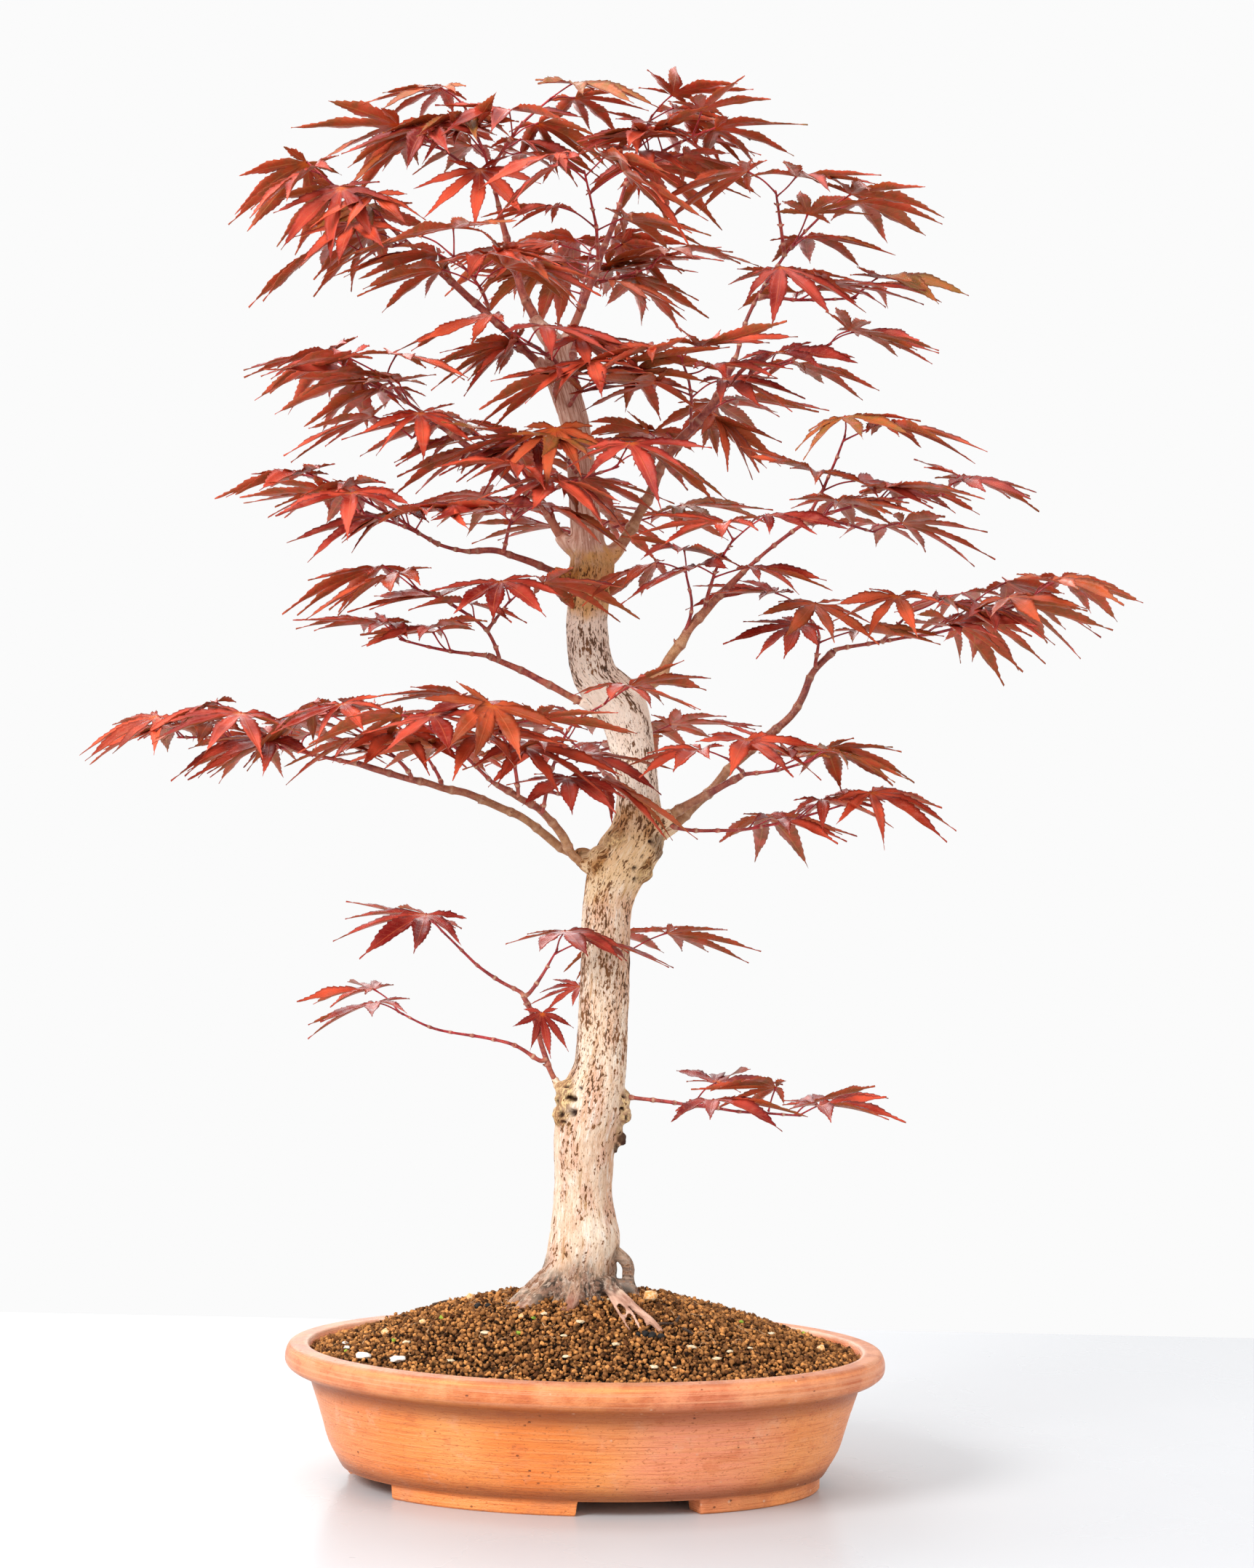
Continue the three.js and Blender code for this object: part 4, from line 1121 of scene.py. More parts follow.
def barkMaterial():
    material, tree, shader = startMaterial("mapleBark", 0.8, 0.25)
    rough, holeShade, low, moss = readMarks(tree)
    _, y, z = placeParts(tree)
    flat = {"attribute": "barkPlace"}
    edge = speckle(tree, placeOn(tree), 55, 3)
    level = total(tree, z, product(tree, combine(tree, "SUBTRACT", edge, 0.5), 0.05))

    def band(name):
        start, end, soft = barkBands[name]
        return product(tree, stretchRange(tree, level, start - soft, start + soft),
                       stretchRange(tree, level, end + soft, end - soft))

    broad = speckle(tree, placeOn(tree, (70, 70, 22), **flat), 1, 3)
    streaks = speckle(tree, placeOn(tree, (520, 520, 75), **flat), 1, 5, 0.62)
    threads = speckle(tree, placeOn(tree, (1500, 1500, 260), (3, 1, 2), **flat), 1, 4, 0.65, 0.4)
    dashes = speckle(tree, placeOn(tree, (760, 760, 300), (7, 2, 4), **flat), 1, 3, 0.55)
    flecks = speckle(tree, placeOn(tree, (1200, 1200, 560), (1, 8, 3), **flat), 1, 2, 0.5)
    patches = speckle(tree, placeOn(tree, (110, 110, 40), (5, 5, 5), **flat), 1, 2)
    colour = coat(
        tree, twoTone(tree, broad, 0.36, 0.64, "deb392", "eed7be"),
        (patches, 0.48, 0.66, 0.6, "dba68e"),
        (streaks, 0.52, 0.68, 0.7, "faf0e3"),
        (streaks, 0.44, 0.3, 0.75, "b5844f"),
        (threads, 0.55, 0.7, 0.5, "fffaf3"),
        (threads, 0.45, 0.32, 0.65, "98683c"),
    )
    # painted light: the bark between 0.40 m and 0.53 m is brightened against the leaves' shade
    colour = wash(tree, colour, band("pale"), 0.62, "fff1e2")
    colour = wash(tree, colour, band("fork"), 0.5, "e6bd7c")
    colour = wash(tree, colour, band("crook"), 0.75, "e2a54c")
    scabs = stretchRange(tree, patches, 0.5, 0.64, 0, 0.75)
    scabs = product(tree, total(tree, band("fork"), band("crookScabs")), scabs)
    colour = blendColours(tree, scabs, colour, "b9762c")
    crust = twoTone(tree, dashes, 0.4, 0.6, "8d5a26", "e9c688")
    crust = coat(tree, crust, (threads, 0.48, 0.38, 0.8, "5a3416"))
    colour = wash(tree, colour, rough, 0.8, crust)
    colour = wash(tree, colour, moss, 0.8, twoTone(tree, threads, 0.4, 0.62, "41352a", "9c8371"))
    ruddy = twoTone(tree, streaks, 0.35, 0.66, "bb8069", "f0cbb6")
    ruddy = coat(tree, ruddy, (threads, 0.52, 0.72, 0.5, "e2bfae"))
    spots = stretchRange(tree, cells(tree, placeOn(tree, (1, 1, 0.7), **flat), 210), 0.17, 0.1)
    ruddy = wash(tree, ruddy, spots, 0.9, "f0dccb")
    colour = coat(tree, colour, (level, 0.545, 0.562, 1, ruddy))  # the younger bark above the crook
    zone = total(tree, band("manyMarksLow"), band("manyMarksHigh"))
    zone = total(tree, zone, product(tree, band("fewMarks"), 0.7))
    crowding = total(tree, product(tree, zone, 0.085), stretchRange(tree, patches, 0.42, 0.62, -0.075, 0.06))
    marked = total(tree, dashes, crowding)
    pale = stretchRange(tree, level, 0.56, 0.54)
    dark = product(tree, stretchRange(tree, marked, 0.625, 0.655), pale)
    halo = product(tree, stretchRange(tree, marked, 0.57, 0.63), pale)
    colour = wash(tree, colour, halo, 0.5, "c18a52")
    colour = wash(tree, colour, dark, 0.9, twoTone(tree, broad, 0.4, 0.6, "47260f", "7a481f"))
    nicks = product(tree, stretchRange(tree, flecks, 0.63, 0.66), stretchRange(tree, zone, 0, 1, 0.3, 0.9))
    colour = wash(tree, colour, nicks, 0.75, "5e3517")
    soot = coat(
        tree, twoTone(tree, dashes, 0.42, 0.58, "211b18", "8f6c59"),
        (flecks, 0.55, 0.65, 0.6, "d8c0ac"),
        (threads, 0.42, 0.32, 0.8, "1c1512"),
    )
    blackened = total(tree, patches, product(tree, streaks, 0.5))
    sooty = product(tree, low, stretchRange(tree, blackened, 0.62, 0.8, 0.95, 0.55))
    colour = blendColours(tree, sooty, colour, soot)
    bareRoots = product(tree, stretchRange(tree, y, -0.033, -0.042), stretchRange(tree, z, 0.123, 0.118))
    colour = wash(tree, colour, bareRoots, 0.85, twoTone(tree, streaks, 0.4, 0.6, "9a6450", "d9ab94"))
    # painted shade: near black inside the bark holes; the lumps given a dark value darken the same way
    colour = wash(tree, colour, holeShade, 0.97, "34160d")
    addFinish(tree, shader, colour, streaks, 0.88, 0.68)
    height = total(tree, product(tree, streaks, 0.6), product(tree, threads, 0.5))
    height = combine(tree, "SUBTRACT", height, product(tree, dark, 0.5))
    height = combine(tree, "SUBTRACT", height, product(tree, nicks, 0.3))
    raiseBump(tree, shader, height, 0.0014, 0.9)
    return material


trunkSkin = {
    "collar": (1.42, 0.55, 0.7),  # how much thicker than its limb, how much of that it loses, and how soon
    "collarReach": 11,  # out from the trunk
    "voxel": 0.00113,
    "softening": 4,
    "ridges": 0.5,  # heights in millimetres; the foot of the trunk is rougher
    "furrows": 0.4,
    "cracks": 0.3,
    "crusts": 1.5,
    "bareRootsFrom": 8,  # how many steps along each root its own bark begins
    "archRootFrom": 5,
}


def addLump(stock, middle, sizes):
    ball, faces = ballPattern(3)
    addShape(stock, np.array(middle, float) + ball * np.array(sizes, float), faces.tolist(), (0, 0, 0, 1))


def stockTrunk(skin):
    stock = newStock()
    rings = smoothRoute(trunkRings, 8)
    addTube(stock, rings[:, :3], rings[:, 3], 48, (0, 0, 0, 1))
    for first, last, *way in trunkRoots:
        route = smoothRoute(way, 8)
        addTube(stock, route, np.linspace(first, last, len(route)), 16, (0, 0, 0, 1))
    for *middle, a, b, c, _, _, _ in trunkLumps:
        addLump(stock, middle, (a, b, c))
    thicker, loss, bend = skin["collar"]
    for first, last, *way in limbRoutes.values():  # a collar where each limb leaves
        route = smoothRoute(way, 8)
        reach = np.concatenate([[0], np.cumsum(np.linalg.norm(np.diff(route, axis=0), axis=1))])
        heights = trunkAxis(route[:, 2])
        inside = np.hypot(route[:, 0] - heights[:, 0], route[:, 1] - heights[:, 1]) < heights[:, 2]
        leaves = reach[np.argmin(inside)] if not inside.all() else reach[-1]
        near = reach < leaves + skin["collarReach"]
        fall = np.clip((reach[near] - leaves + 4) / 15, 0, 1)
        addTube(stock, route[near], first * (thicker - loss * fall**bend), 16, (0, 0, 0, 1))
    return stock


def closeTo(points, roots, skip):  # 1 on these roots' own bark, from a few steps along each
    near = np.zeros(len(points))
    for first, _, *way in roots:
        for spot in smoothRoute(way, 8)[skip:]:
            away = np.linalg.norm(points - spot, axis=1)
            near = np.maximum(near, smoothStep(first + 2.5, first + 0.8, away))
    return near


def readAll(items, key):
    values = np.empty(len(items) * 3, np.float32)
    items.foreach_get(key, values)
    return values.reshape(-1, 3)


def makeTrunk(skin):
    piece = showStock("trunkWood", stockTrunk(skin), barkMaterial(), ["trunk"], weld=0.001)
    remesh = piece.modifiers.new("skin", "REMESH")
    remesh.mode = "VOXEL"
    remesh.voxel_size = skin["voxel"]
    smooth = piece.modifiers.new("soft", "SMOOTH")
    smooth.factor = 0.5
    smooth.iterations = skin["softening"]
    applyModifiers(piece)
    mesh = piece.data
    points = (readAll(mesh.vertices, "co") - potMiddle) * 1000
    normals = readAll(mesh.vertex_normals, "vector").astype(float)
    count = len(points)
    axis = trunkAxis(points[:, 2])
    angle = np.arctan2(points[:, 1] - axis[:, 1], points[:, 0] - axis[:, 0])
    flat = np.stack([15 * np.cos(angle), 15 * np.sin(angle), points[:, 2]], -1)
    rough, moss, hollowShade = np.zeros((3, count))
    for *middle, a, b, c, crusty, mossy, dark in trunkLumps:
        close = smoothStep(1.35, 0.95, np.linalg.norm((points - middle) / (a, b, c), axis=1))
        rough, moss = np.maximum(rough, crusty * close), np.maximum(moss, mossy * close)
        hollowShade = np.maximum(hollowShade, dark * close)
    bare = closeTo(points, frontRoots, skin["bareRootsFrom"])
    moss = np.maximum(moss, 0.8 * closeTo(points, [archRoot], skin["archRootFrom"]))
    low = smoothStep(140, 125, points[:, 2] + 4 * np.sin(angle * 5)) * (1 - 0.85 * bare)
    push = np.zeros(count)
    for i, (x, y, z) in enumerate(flat.tolist()):
        ridge = noise.noise((x * 0.16, y * 0.16, z * 0.022))
        furrow = noise.noise((x * 0.42 + 9, y * 0.42, z * 0.07))
        crack = noise.noise((x * 0.95, y * 0.95 + 3, z * 0.16))
        lumpy = noise.noise((x * 0.3, y * 0.3 + 5, z * 0.3))
        push[i] = ((skin["ridges"] + 0.5 * low[i]) * ridge + (skin["furrows"] + 0.5 * low[i]) * furrow
                   + (skin["cracks"] + 0.3 * low[i]) * crack + (0.15 + skin["crusts"] * rough[i]) * lumpy)
    ragged = 0.22 * np.sin(angle * 31 + points[:, 2] * 1.7) * np.sin(points[:, 2] * 2.3 + angle * 9)
    # the holes are pushed in and marked for painted shade inside them
    for x, y, z, wide, tall, depth in trunkHoles:
        away = np.linalg.norm((points - (x, y, z)) / (wide, 3 * wide, tall), axis=1) + ragged
        push -= depth * smoothStep(1.15, 0.4, away)
        hollowShade = np.maximum(hollowShade, smoothStep(1.0, 0.55, away))
    points = points + normals * push[:, None]
    mesh.vertices.foreach_set("co", toFrame(points).astype(np.float32).ravel())
    writeMarks(mesh, np.stack([rough, hollowShade, low, moss], -1))
    bark = mesh.attributes.new("barkPlace", "FLOAT_VECTOR", "POINT")
    bark.data.foreach_set("vector", (flat / 1000).astype(np.float32).ravel())
    shadeSmooth(mesh)
    print("the trunk has", len(mesh.polygons), "faces")


makeTrunk(trunkSkin)


# The limbs: old wood with swollen nodes and short dry stubs

def woodMaterial(name, old, young):
    material, tree, shader = startMaterial(name, 0.55, 0.4)
    along, ring, tint, _ = readMarks(tree)
    place = placeOn(tree)
    grain = speckle(tree, place, 260, 4, 0.6)
    fine = speckle(tree, placeOn(tree, shift=(4, 2, 7)), 900, 3, 0.6)
    blotch = speckle(tree, placeOn(tree, shift=(1, 6, 2)), 70, 3)
    share = total(tree, along, product(tree, combine(tree, "SUBTRACT", blotch, 0.5), 0.7))
    colour = coat(
        tree, twoTone(tree, grain, 0.36, 0.64, *old),
        (share, 0.15, 0.85, 1, twoTone(tree, grain, 0.36, 0.64, *young)),
    )
    colour = wash(tree, colour, tint, 0.4, "4b1c1c")
    colour = coat(tree, colour, (fine, 0.62, 0.72, 0.45, "d9b79c"), (fine, 0.4, 0.3, 0.4, "3c1a16"))
    colour = wash(tree, colour, ring, 0.75, "dcb896")
    addFinish(tree, shader, colour, grain, 0.42, 0.66)
    raiseBump(tree, shader, total(tree, grain, product(tree, fine, 0.4)), 0.0005, 0.6)
    return material


limbStems = {"gap": 19, "sides": 16, "flare": 0.5, "swell": 0.24}  # gap between nodes, in millimetres
twigStems = {"gap": 13, "sides": 8, "flare": 0.6, "swell": 0.5}


def addStem(stock, way, radii, shades, growth, seed):
    gap, flare, swell = growth["gap"], growth["flare"], growth["swell"]
    route = smoothRoute(way, 12)
    length = routeLength(route)
    count = max(8, int(length / 1.1))
    shares = np.linspace(0, 1, count)
    line = alongRoute(route, shares)
    wander = np.array([[noise.noise((s * length * 0.06 + seed, axis * 7.3, seed)) for axis in range(3)]
                       for s in shares])
    line = line + wander * (radii[0] * 0.5) * np.sin(math.pi * shares)[:, None]
    thick = mix(radii[0], radii[1], shares) * (1 + 0.07 * wander[:, 0] * 2)
    nodes = np.arange(gap * 0.7, length - 2, gap) + 0.25 * gap * wander[:1, 0]
    ring = np.zeros(count)
    for at in nodes:
        off = (shares * length - at) / (0.9 + radii[1] * 0.4)
        bump = np.exp(-off * off)
        thick = thick * (1 + swell * bump)
        ring = np.maximum(ring, min(swell * 2, 1) * np.exp(-((off - 0.4) * 2) ** 2))
    thick = thick * (1 + flare * np.exp(-shares * length / (1.6 * radii[0])))
    ring = np.maximum(ring, flare * np.exp(-(shares * length / 2.6) ** 2))
    tint = np.full(count, (seed * 0.37) % 1)
    marks = np.stack([mix(shades[0], shades[1], shares), ring, tint, np.ones(count)], -1)
    addTube(stock, line, thick, growth["sides"], marks)
    return line, nodes / length


def addBud(stock, place, way, size, shade):
    ball, faces = ballPattern(1)
    way = unit(np.array(way, float))
    reach = ball @ way
    points = ball * size * 0.55 + way * (reach[:, None] * size * 0.75 + size * 0.8)
    addShape(stock, np.array(place) + points, faces.tolist(), (shade, 0.15, 0.2, 1))


def joined(name):  # a node's name as it stands in a piece's name
    return name.title().replace("_", "")


def sideWay(step, turn):  # a way square to the step
    side = unit(np.cross(step, (0.2, 0.3, 1)))
    return math.cos(turn) * side + math.sin(turn) * np.cross(step, side)


youth = {  # how red and smooth the bark still is
    "low_left": 0.85, "left_mid": 0.75, "left_upper": 0.7, "left_upper_mid": 0.7, "crown_left": 0.85,
    "leader": 0.8, "crown_right": 0.8, "back_upper": 0.7, "right_upper": 0.55,
}
limbWood = {
    "slimmer": (0.74, 0.8),  # than the model's limbs, at the start and at the end
    "stubs": 0.55,  # how often a node has one
    "old": ("b07c50", "cfa071"),
    "young": ("8a3430", "b8604c"),
}


def makeLimbs(wood):
    bark = woodMaterial("limbBark", wood["old"], wood["young"])
    slimFirst, slimLast = wood["slimmer"]
    for index, (name, (first, last, *way)) in enumerate(limbRoutes.items()):
        stock = newStock()
        young = youth.get(name, 0.4)
        line, nodes = addStem(stock, way, (first * slimFirst, last * slimLast), (young - 0.3, young + 0.4),
                              limbStems, index * 3.1 + 1)
        for node in nodes:
            at = int(node * (len(line) - 1))
            step = line[min(at + 1, len(line) - 1)] - line[at - 1]
            for side in (0, math.pi):
                if dice.uniform() < wood["stubs"]:
                    out = sideWay(unit(step), side + dice.uniform(-0.5, 0.5))
                    size = dice.uniform(0.8, 1.5)
                    root = line[at] + out * mix(first, last, node) * 0.85
                    addBud(stock, root, out + step * 0.4, size, young + 0.3)
        showStock("limb" + joined(name), stock, bark, ["limb_" + name], weld=0.0005)
    print("the limbs are grown")


makeLimbs(limbWood)


# The leaves: each blade is one of four cut patterns of seven toothed lobes, bent and turned in its own way

leafCut = {
    "lobes": ((0, 1.0, 8), (31, 0.96, 8), (64, 0.74, 6), (104, 0.38, 4)),  # angle, length, teeth each side
    "notch": 0.2,
    "widest": 0.38,
    "halfWidth": 0.091,
    "tooth": 0.0105,
    "thick": 0.3,
    "patterns": 4,
    "larger": 1.05,  # than the model's plain blades
}


def lobeOutline(share, waist, wide, widest):
    rise = waist + (wide - waist) * np.sin(np.clip(share / widest, 0, 1) * math.pi / 2)
    u = np.clip((share - widest) / (1 - widest), 0, 1)
    return np.where(share < widest, rise, wide * (1 - u) ** 1.75 * (1 + 1.2 * u))


def cutPattern(cut, seed):
    lobes = sorted({(side * angle, length, teeth) for angle, length, teeth in cut["lobes"] for side in (-1, 1)})
    angles = [math.radians(a + 2.5 * scatter(seed + a)) for a, _, _ in lobes]
    points, faces, facts = [], [], []
    for i, (angle, length, teeth) in enumerate(lobes):
        length *= 1 + 0.05 * scatter(seed * 3 + angle)
        turn = angles[i]
        halves = [(turn - angles[i - 1]) / 2 if i else 0.42,
                  (angles[i + 1] - turn) / 2 if i + 1 < len(lobes) else 0.42]
        notch = cut["notch"] * (0.6 if length < 0.5 else 1)
        fan = (-halves[0], -halves[0] / 2, 0, halves[1] / 2, halves[1])
        rows = [[(notch * r * math.cos(v), notch * r * math.sin(v)) for v in fan] for r in (0, 0.5, 1)]
        shares = [(0.07, 0)]
        for k in range(teeth):
            t = mix(0.16, 0.86, k / (teeth - 1))
            shares += [(t, 1), (t + 0.022, -0.5)]
        shares += [(0.94, 0), (1, 0)]
        waist = [notch * math.sin(h) for h in halves]
        wide = cut["halfWidth"] * (length ** 0.75) * (1 + 0.1 * scatter(seed * 5 + i))
        for t, tooth in shares:
            x = mix(notch * 0.97, length, t)
            jut = tooth * cut["tooth"] * (1 - 0.55 * t)
            sides = [float(lobeOutline(t, w, wide, cut["widest"])) + jut for w in waist]
            sides = [max(w, 0.0022 if t > 0.97 else 0.006) for w in sides]
            rows.append([(x, -sides[0]), (x, -sides[0] * 0.5), (x, 0), (x, sides[1] * 0.5), (x, sides[1])])
        start = len(points)
        cosine, sine = math.cos(turn), math.sin(turn)
        for row in rows:
            for q, (a, b) in zip((1, 0.5, 0, 0.5, 1), row):
                points.append((a * cosine - b * sine, a * sine + b * cosine))
                facts.append((i, a, b, length, turn, q))
        for r in range(len(rows) - 1):
            for c in range(4):
                p = start + r * 5 + c
                faces.append((p, p + 5, p + 6, p + 1))
    return weldPattern(np.array(points), faces, np.array(facts))


def weldPattern(points, faces, facts):  # joins the lobes, and adds the underside and the edge
    keys, first, where = np.unique(np.round(points, 4), axis=0, return_index=True, return_inverse=True)
    where = where.reshape(-1)
    top, edges = [], {}
    for face in faces:
        ring = [int(where[p]) for p in face]
        ring = [p for i, p in enumerate(ring) if p != ring[i - 1]]
        if len(set(ring)) < 3:
            continue
        top.append(tuple(ring))
        for a, b in zip(ring, ring[1:] + ring[:1]):
            edges[(a, b)] = True
    count = len(keys)
    under = [tuple(p + count for p in reversed(face)) for face in top]
    rim = [(b, a, a + count, b + count) for a, b in edges if (b, a) not in edges]
    lobe, along, across, length, turn, q = facts[first].T
    return {"faces": np.array([f if len(f) == 4 else (*f, -1) for f in top + under + rim]), "count": count,
            "lobe": lobe.astype(int), "along": along, "across": across, "length": length, "turn": turn, "q": q}


leafBend = {  # usual value and spread
    "droop": (0.13, 0.07),
    "sway": (0, 0.055),
    "twist": (0, 0.5),
    "splay": (0, 0.06),
    "cup": (0.05, 0.1),
    "fold": (0.2, 0.6),  # least and most
}


def bendBlade(pattern, size, thick):  # a blade folded along each midrib, with lobes that hang and sway
    lobes = pattern["lobe"].max() + 1
    droop, sway, twist, splay = (
        dice.normal(*leafBend[kind], lobes)[pattern["lobe"]] for kind in ("droop", "sway", "twist", "splay"))
    fold = dice.uniform(*leafBend["fold"])
    cup = dice.normal(*leafBend["cup"])
    length = pattern["length"]
    s = np.clip(pattern["along"] / length, 0, 1)
    a, b = pattern["along"], pattern["across"]
    ripple = 0.006 * np.sin(s * 19 + dice.uniform(0, 6)) * pattern["q"] * np.sign(b)
    z = (fold * np.abs(b) * np.clip(s * 4, 0, 1) - droop * length * s**1.8 + cup * a
         + b * np.sin(twist * s) + ripple)
    along = a * (1 - 0.3 * droop * s)
    across = b * np.cos(twist * s) * math.cos(fold) + sway * length * s**2
    turn = pattern["turn"] + splay * np.clip(a / 0.25, 0, 1)
    cosine, sine = np.cos(turn), np.sin(turn)
    top = np.stack([along * cosine - across * sine, along * sine + across * cosine, z], -1) * size
    return np.vstack([top, top - (0, 0, thick)])


def turned(heading, droop, roll):
    ch, sh, cd, sd, cr, sr = (f(v) for v in (heading, droop, roll) for f in (math.cos, math.sin))
    return np.array([[ch, -sh, 0], [sh, ch, 0], [0, 0, 1]]) @ np.array(
        [[cd, 0, sd], [0, 1, 0], [-sd, 0, cd]]) @ np.array([[1, 0, 0], [0, cr, -sr], [0, sr, cr]])


leafPlan = {  # laid out as in the model; two values are the usual one and how far it scatters
    "lowest": 0.45,  # where along its twig the lowest pair sits
    "spread": (78, 46),  # degrees from the twig, at the twig's foot and at its tip
    "stalk": (21, 6),
    "slope": (0.48, 0.22),
    "size": 60,
    "extraStalk": (16, 28),  # least and most, on the extra leaves lower down
    "extraSize": (46, 62),
}


def leavesOn(pairs, droop, way, seed):
    stalkLength, stalkScatter = leafPlan["stalk"]
    slope, slopeScatter = leafPlan["slope"]
    route = smoothRoute(way, 24)
    length = routeLength(route)
    leaves = []
    for pair in range(pairs):
        along = 1 if pairs == 1 else mix(leafPlan["lowest"], 1, pair / (pairs - 1))
        ends = alongRoute(route, [max(along - 0.02, 0), min(along + 0.005, 1)])
        course = math.atan2(*(ends[1] - ends[0])[[1, 0]])
        for side in (-1, 1):
            node = alongRoute(route, [along if side < 0 else along - 2.4 / length])[0]
            n = seed + pair * 2.7 + side * 0.6
            heading = course + side * math.radians(mix(*leafPlan["spread"], along) + 12 * scatter(n))
            stalk = np.array([math.cos(heading), math.sin(heading), slope + slopeScatter * scatter(n + 23)])
            stalk *= (stalkLength + stalkScatter * scatter(n + 11)) / np.linalg.norm(stalk)
            leaves.append({
                "node": node,
                "end": node + stalk,
                "turn": turned(heading + 0.2 * scatter(n + 31), math.radians(droop + 12 * scatter(n + 41)),
                               math.radians(14 * scatter(n + 53))),
                "size": leafPlan["size"] * (0.94 + 0.12 * scatter(n + 61)),
            })
    return leaves


fullness = {  # extra leaves on each twig of the sprays that are thicker than the model shows
    "leader_tip": 2, "crown_left_tip": 1, "crown_left_front": 3, "crown_right_tip": 2, "crown_right_front": 3,
    "back_upper_tip": 2, "right_upper_back": 2, "right_upper_front": 1, "left_upper_back": 2,
}
extraTwigs = {  # young twigs from the old wood: leaf pairs, droop, and way
    "crown_right_front": [(2, 10, (-22, -4, 642), (-14, -26, 650), (-2, -46, 653))],
    "crown_left_front": [(2, 12, (-29, -2, 667), (-38, -24, 673), (-46, -44, 675))],
    "left_upper_back": [(2, 11, (-15, -4, 602), (-24, -28, 610), (-34, -48, 612))],
}
looseLeaves = {  # single leaves: node, end of the stalk, heading, droop and roll in degrees, and size
    "low_back": [((2, 17, 289), (-8, 21, 295), 186, 16, -18, 32)],
    "low_left_fork": [((-35, -9, 277), (-30, -12, 281), -72, 62, 0, 29)],
    "low_right": [((106, -11, 225), (110, -14, 240), 176, 5, 26, 50)],
}


def moreLeaves(count, droop, way):  # smaller and older leaves lower down the twig
    route = smoothRoute(way, 24)
    leaves = []
    for _ in range(count):
        along = dice.uniform(0.1, 0.92)
        ends = alongRoute(route, [along, along + 0.05])
        course = math.atan2(*(ends[1] - ends[0])[[1, 0]]) + dice.choice((-1, 1)) * dice.uniform(0.5, 1.7)
        stalk = np.array([math.cos(course), math.sin(course), dice.uniform(0.1, 0.8)])
        stalk *= dice.uniform(*leafPlan["extraStalk"]) / np.linalg.norm(stalk)
        heading = course + dice.normal(0, 0.3)
        leaves.append({
            "node": ends[0],
            "end": ends[0] + stalk,
            "turn": turned(heading, math.radians(droop + dice.normal(6, 14)), dice.normal(0, 0.3)),
            "size": dice.uniform(*leafPlan["extraSize"]),
        })
    return leaves


def placedLeaves(name):
    leaves = []
    for node, end, *angles, size in looseLeaves.get(name, ()):
        leaves.append({
            "node": np.array(node, float),
            "end": np.array(end, float),
            "turn": turned(*(math.radians(v) for v in angles)),
            "size": size,
        })
    return leaves


def leafMaterial():
    material, tree, shader = startMaterial("mapleLeaf", 0.5, 0.18)
    along, across, tint, top = readMarks(tree)
    place = placeOn(tree)
    leafy = speckle(tree, place, 26, 2)
    mottle = speckle(tree, placeOn(tree, shift=(3, 1, 4)), 130, 4, 0.6)
    fine = speckle(tree, placeOn(tree, shift=(6, 2, 1)), 1100, 3, 0.6)
    upper = coat(
        tree, twoTone(tree, leafy, 0.36, 0.64, "7a1a16", "bc4536"),
        (tint, 0.1, 0.45, 1, twoTone(tree, leafy, 0.36, 0.64, "8e200f", "dc5538")),
        (mottle, 0.5, 0.72, 0.55, "b45a48"),
        (tint, 0.45, 0.95, 0.85, twoTone(tree, mottle, 0.35, 0.65, "ab5c2c", "7f6228")),
        (across, 0.6, 1, 0.5, "5a100c"),
    )
    below = twoTone(tree, leafy, 0.36, 0.64, "a54b26", "c65136")
    below = coat(tree, below, (mottle, 0.42, 0.66, 0.6, "74502c"))
    colour = blendColours(tree, top, below, upper)
    slant = combine(tree, "SUBTRACT", product(tree, along, 13), product(tree, across, 1.6))
    wave = combine(tree, "ABSOLUTE", combine(tree, "SUBTRACT", combine(tree, "FRACT", slant, 0), 0.5), 0)
    side = product(tree, stretchRange(tree, wave, 0.09, 0.02), stretchRange(tree, across, 1, 0.5, 0, 0.42))
    midrib = stretchRange(tree, total(tree, across, product(tree, along, 0.03)), 0.13, 0.04)
    veins = combine(tree, "MAXIMUM", side, midrib)
    veinColour = blendColours(tree, top, "c98a4a", "c8603c")
    colour = wash(tree, colour, veins, 0.42, veinColour)
    # painted sheen: fine grey-pink specks over the blades, after the orange at each blade's foot
    colour = coat(tree, colour, (along, 0.13, 0.0, 0.85, "e0702c"), (fine, 0.64, 0.74, 0.35, "c99a83"))
    addFinish(tree, shader, colour, mottle, 0.3, 0.48)
    height = total(tree, product(tree, veins, 0.6), product(tree, mottle, 0.5))
    raiseBump(tree, shader, height, 0.0005, 0.5)
    return material


def rooted(way):  # begins a twig inside the limb that bears it
    spots = np.vstack([smoothRoute(limb) for _, _, *limb in limbRoutes.values()])
    away = np.linalg.norm(spots - way[0], axis=1)
    near = int(np.argmin(away))
    return [tuple(spots[near]), *way] if 0.5 < away[near] < 9 else way


twigWood = {
    "radii": (1.2, 0.62),
    "shades": (0.35, 0.95),  # from old wood to young
    "buds": 0.4,  # how often a node has one
    "old": ("963f34", "bc6650"),
    "young": ("86151c", "bf343a"),
}


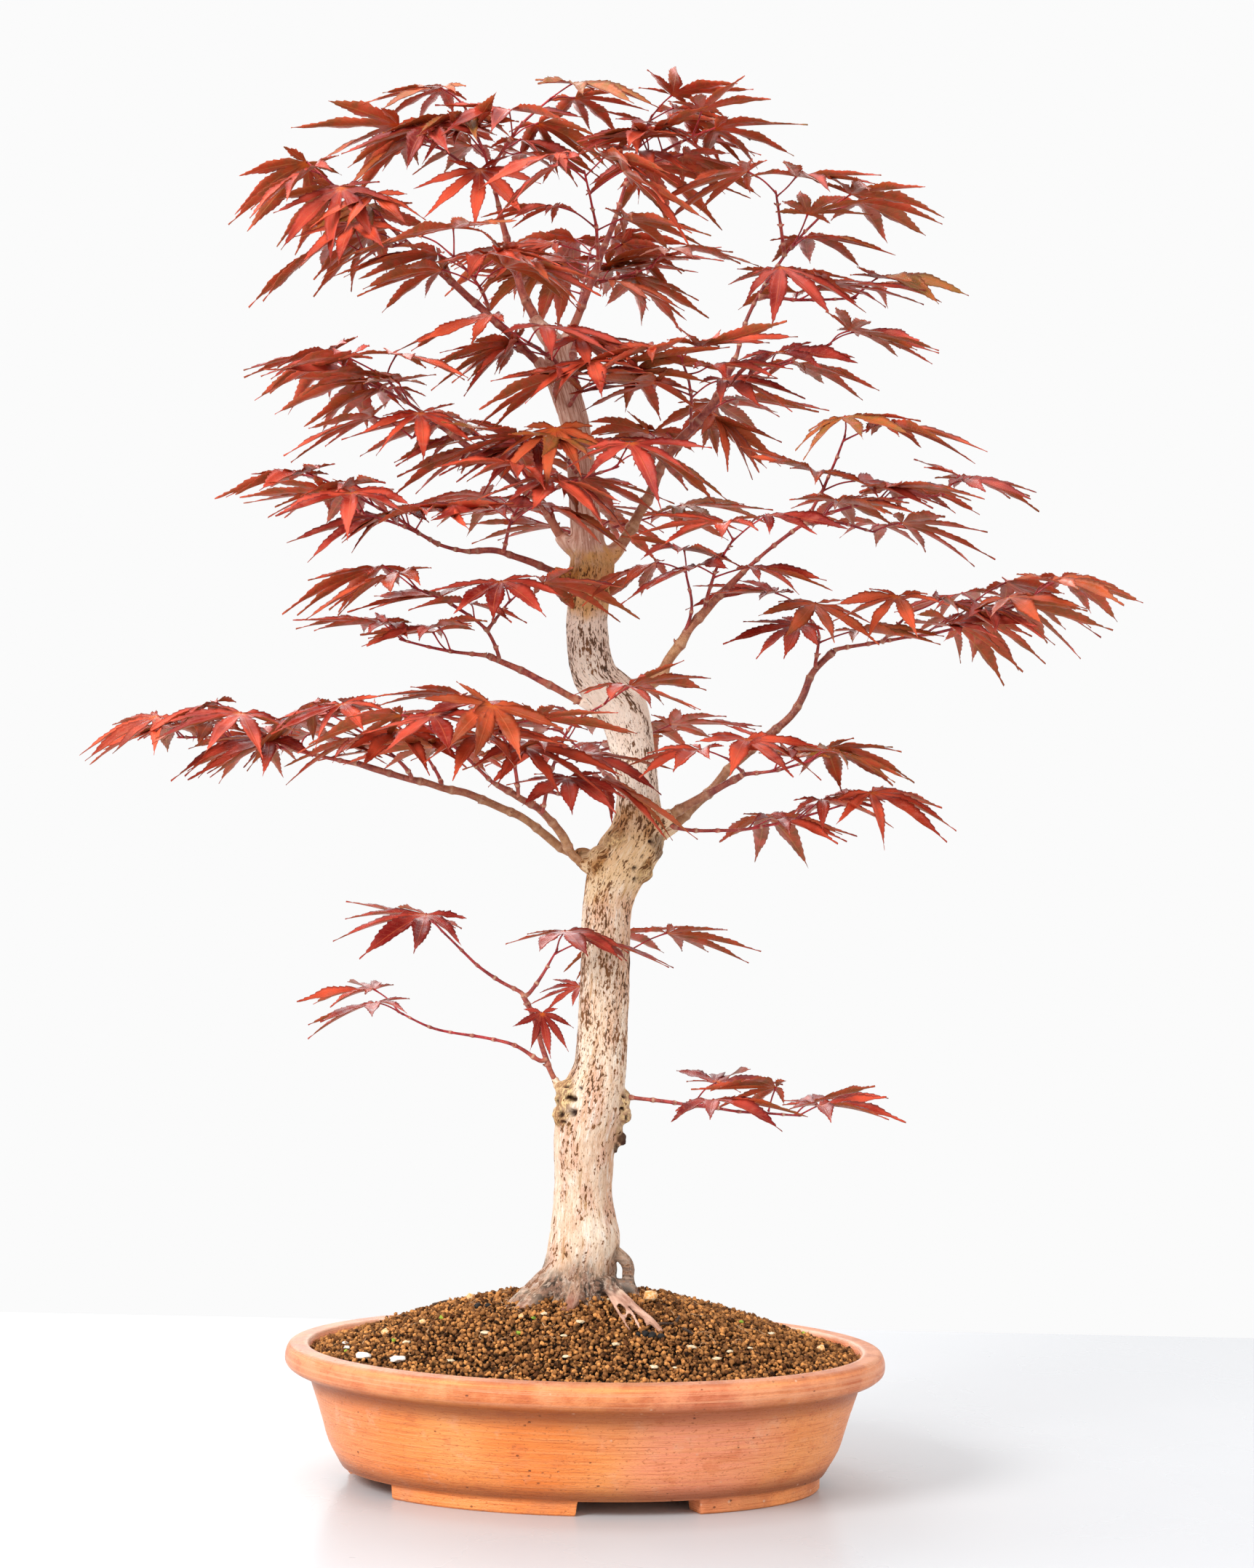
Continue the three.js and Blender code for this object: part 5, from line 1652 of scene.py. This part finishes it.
def makeSpray(name, twigs, seed, patterns, materials):
    wood, blades = newStock(), newStock()
    leafFaces = []
    for order, (pairs, droop, *way) in enumerate([*twigs, *extraTwigs.get(name, [])]):
        line, nodes = addStem(wood, rooted(way), twigWood["radii"], twigWood["shades"], twigStems, seed * 0.7)
        for node in nodes:
            at = max(1, int(node * (len(line) - 1)))
            step = unit(line[at] - line[at - 1])
            for side in (0, math.pi):
                if dice.uniform() < twigWood["buds"]:
                    out = sideWay(step, side + dice.uniform(-0.4, 0.4))
                    addBud(wood, line[at] + out * 0.7, out + step, dice.uniform(0.7, 1.2), 0.9)
        tip = unit(line[-1] - line[-3])
        addBud(wood, line[-1] - tip * 0.3, tip, 1.2, 1)
        leaves = leavesOn(pairs, droop, way, seed) + moreLeaves(fullness.get(name, 0), droop, way)
        for leaf in leaves + (placedLeaves(name) if order == 0 else []):
            node, end = leaf["node"], leaf["end"]
            middle = (node + end) / 2 + (0, 0, dice.uniform(-0.5, 2.2)) + dice.normal(0, 0.6, 3)
            route = smoothRoute([node, middle, end], 7)
            thin = 0.5 + 0.35 * np.abs(np.linspace(-1, 1, len(route))) ** 6
            marks = np.stack([np.linspace(0.8, 1, len(route)), np.zeros(len(route)),
                              np.full(len(route), dice.uniform(0, 0.5)), np.ones(len(route))], -1)
            addTube(wood, route, thin, 6, marks)
            pattern = patterns[int(dice.integers(len(patterns)))]
            blade = bendBlade(pattern, leaf["size"] * leafCut["larger"], leafCut["thick"])
            points = blade @ leaf["turn"].T + end
            s = np.clip(pattern["along"] / pattern["length"], 0, 1)
            crown = float(smoothStep(560, 760, end[2]))
            tint = float(np.clip(dice.normal(0.3 + 0.2 * crown, 0.28), 0, 1))
            half = np.stack([s, pattern["q"], np.full(len(s), tint)], -1)
            marks = np.hstack([np.vstack([half, half]), np.repeat([[1.0], [0.0]], len(s), axis=0)])
            start = blades["count"]
            blades["points"].append(points)
            blades["marks"].append(marks)
            blades["count"] += len(points)
            leafFaces.append(np.where(pattern["faces"] < 0, -1, pattern["faces"] + start))
        seed += 17
    blades["faces"] = [tuple(f if f[3] >= 0 else f[:3]) for f in np.vstack(leafFaces).tolist()]
    showStock("twigs" + joined(name), wood, materials[0], weld=0.0005)
    leaves = showStock("leaves" + joined(name), blades, materials[1], ["spray_" + name])
    return seed, len(leaves.data.polygons)


def makeSprays():
    patterns = [cutPattern(leafCut, 3.7 * k + 1) for k in range(leafCut["patterns"])]
    materials = (woodMaterial("twigBark", twigWood["old"], twigWood["young"]), leafMaterial())
    seed, count = 1, 0
    for name, twigs in sprayTwigs.items():
        seed, faces = makeSpray(name, twigs, seed, patterns, materials)
        count += faces
    print("the leaves have", count, "faces in", len(sprayTwigs), "sprays")


makeSprays()
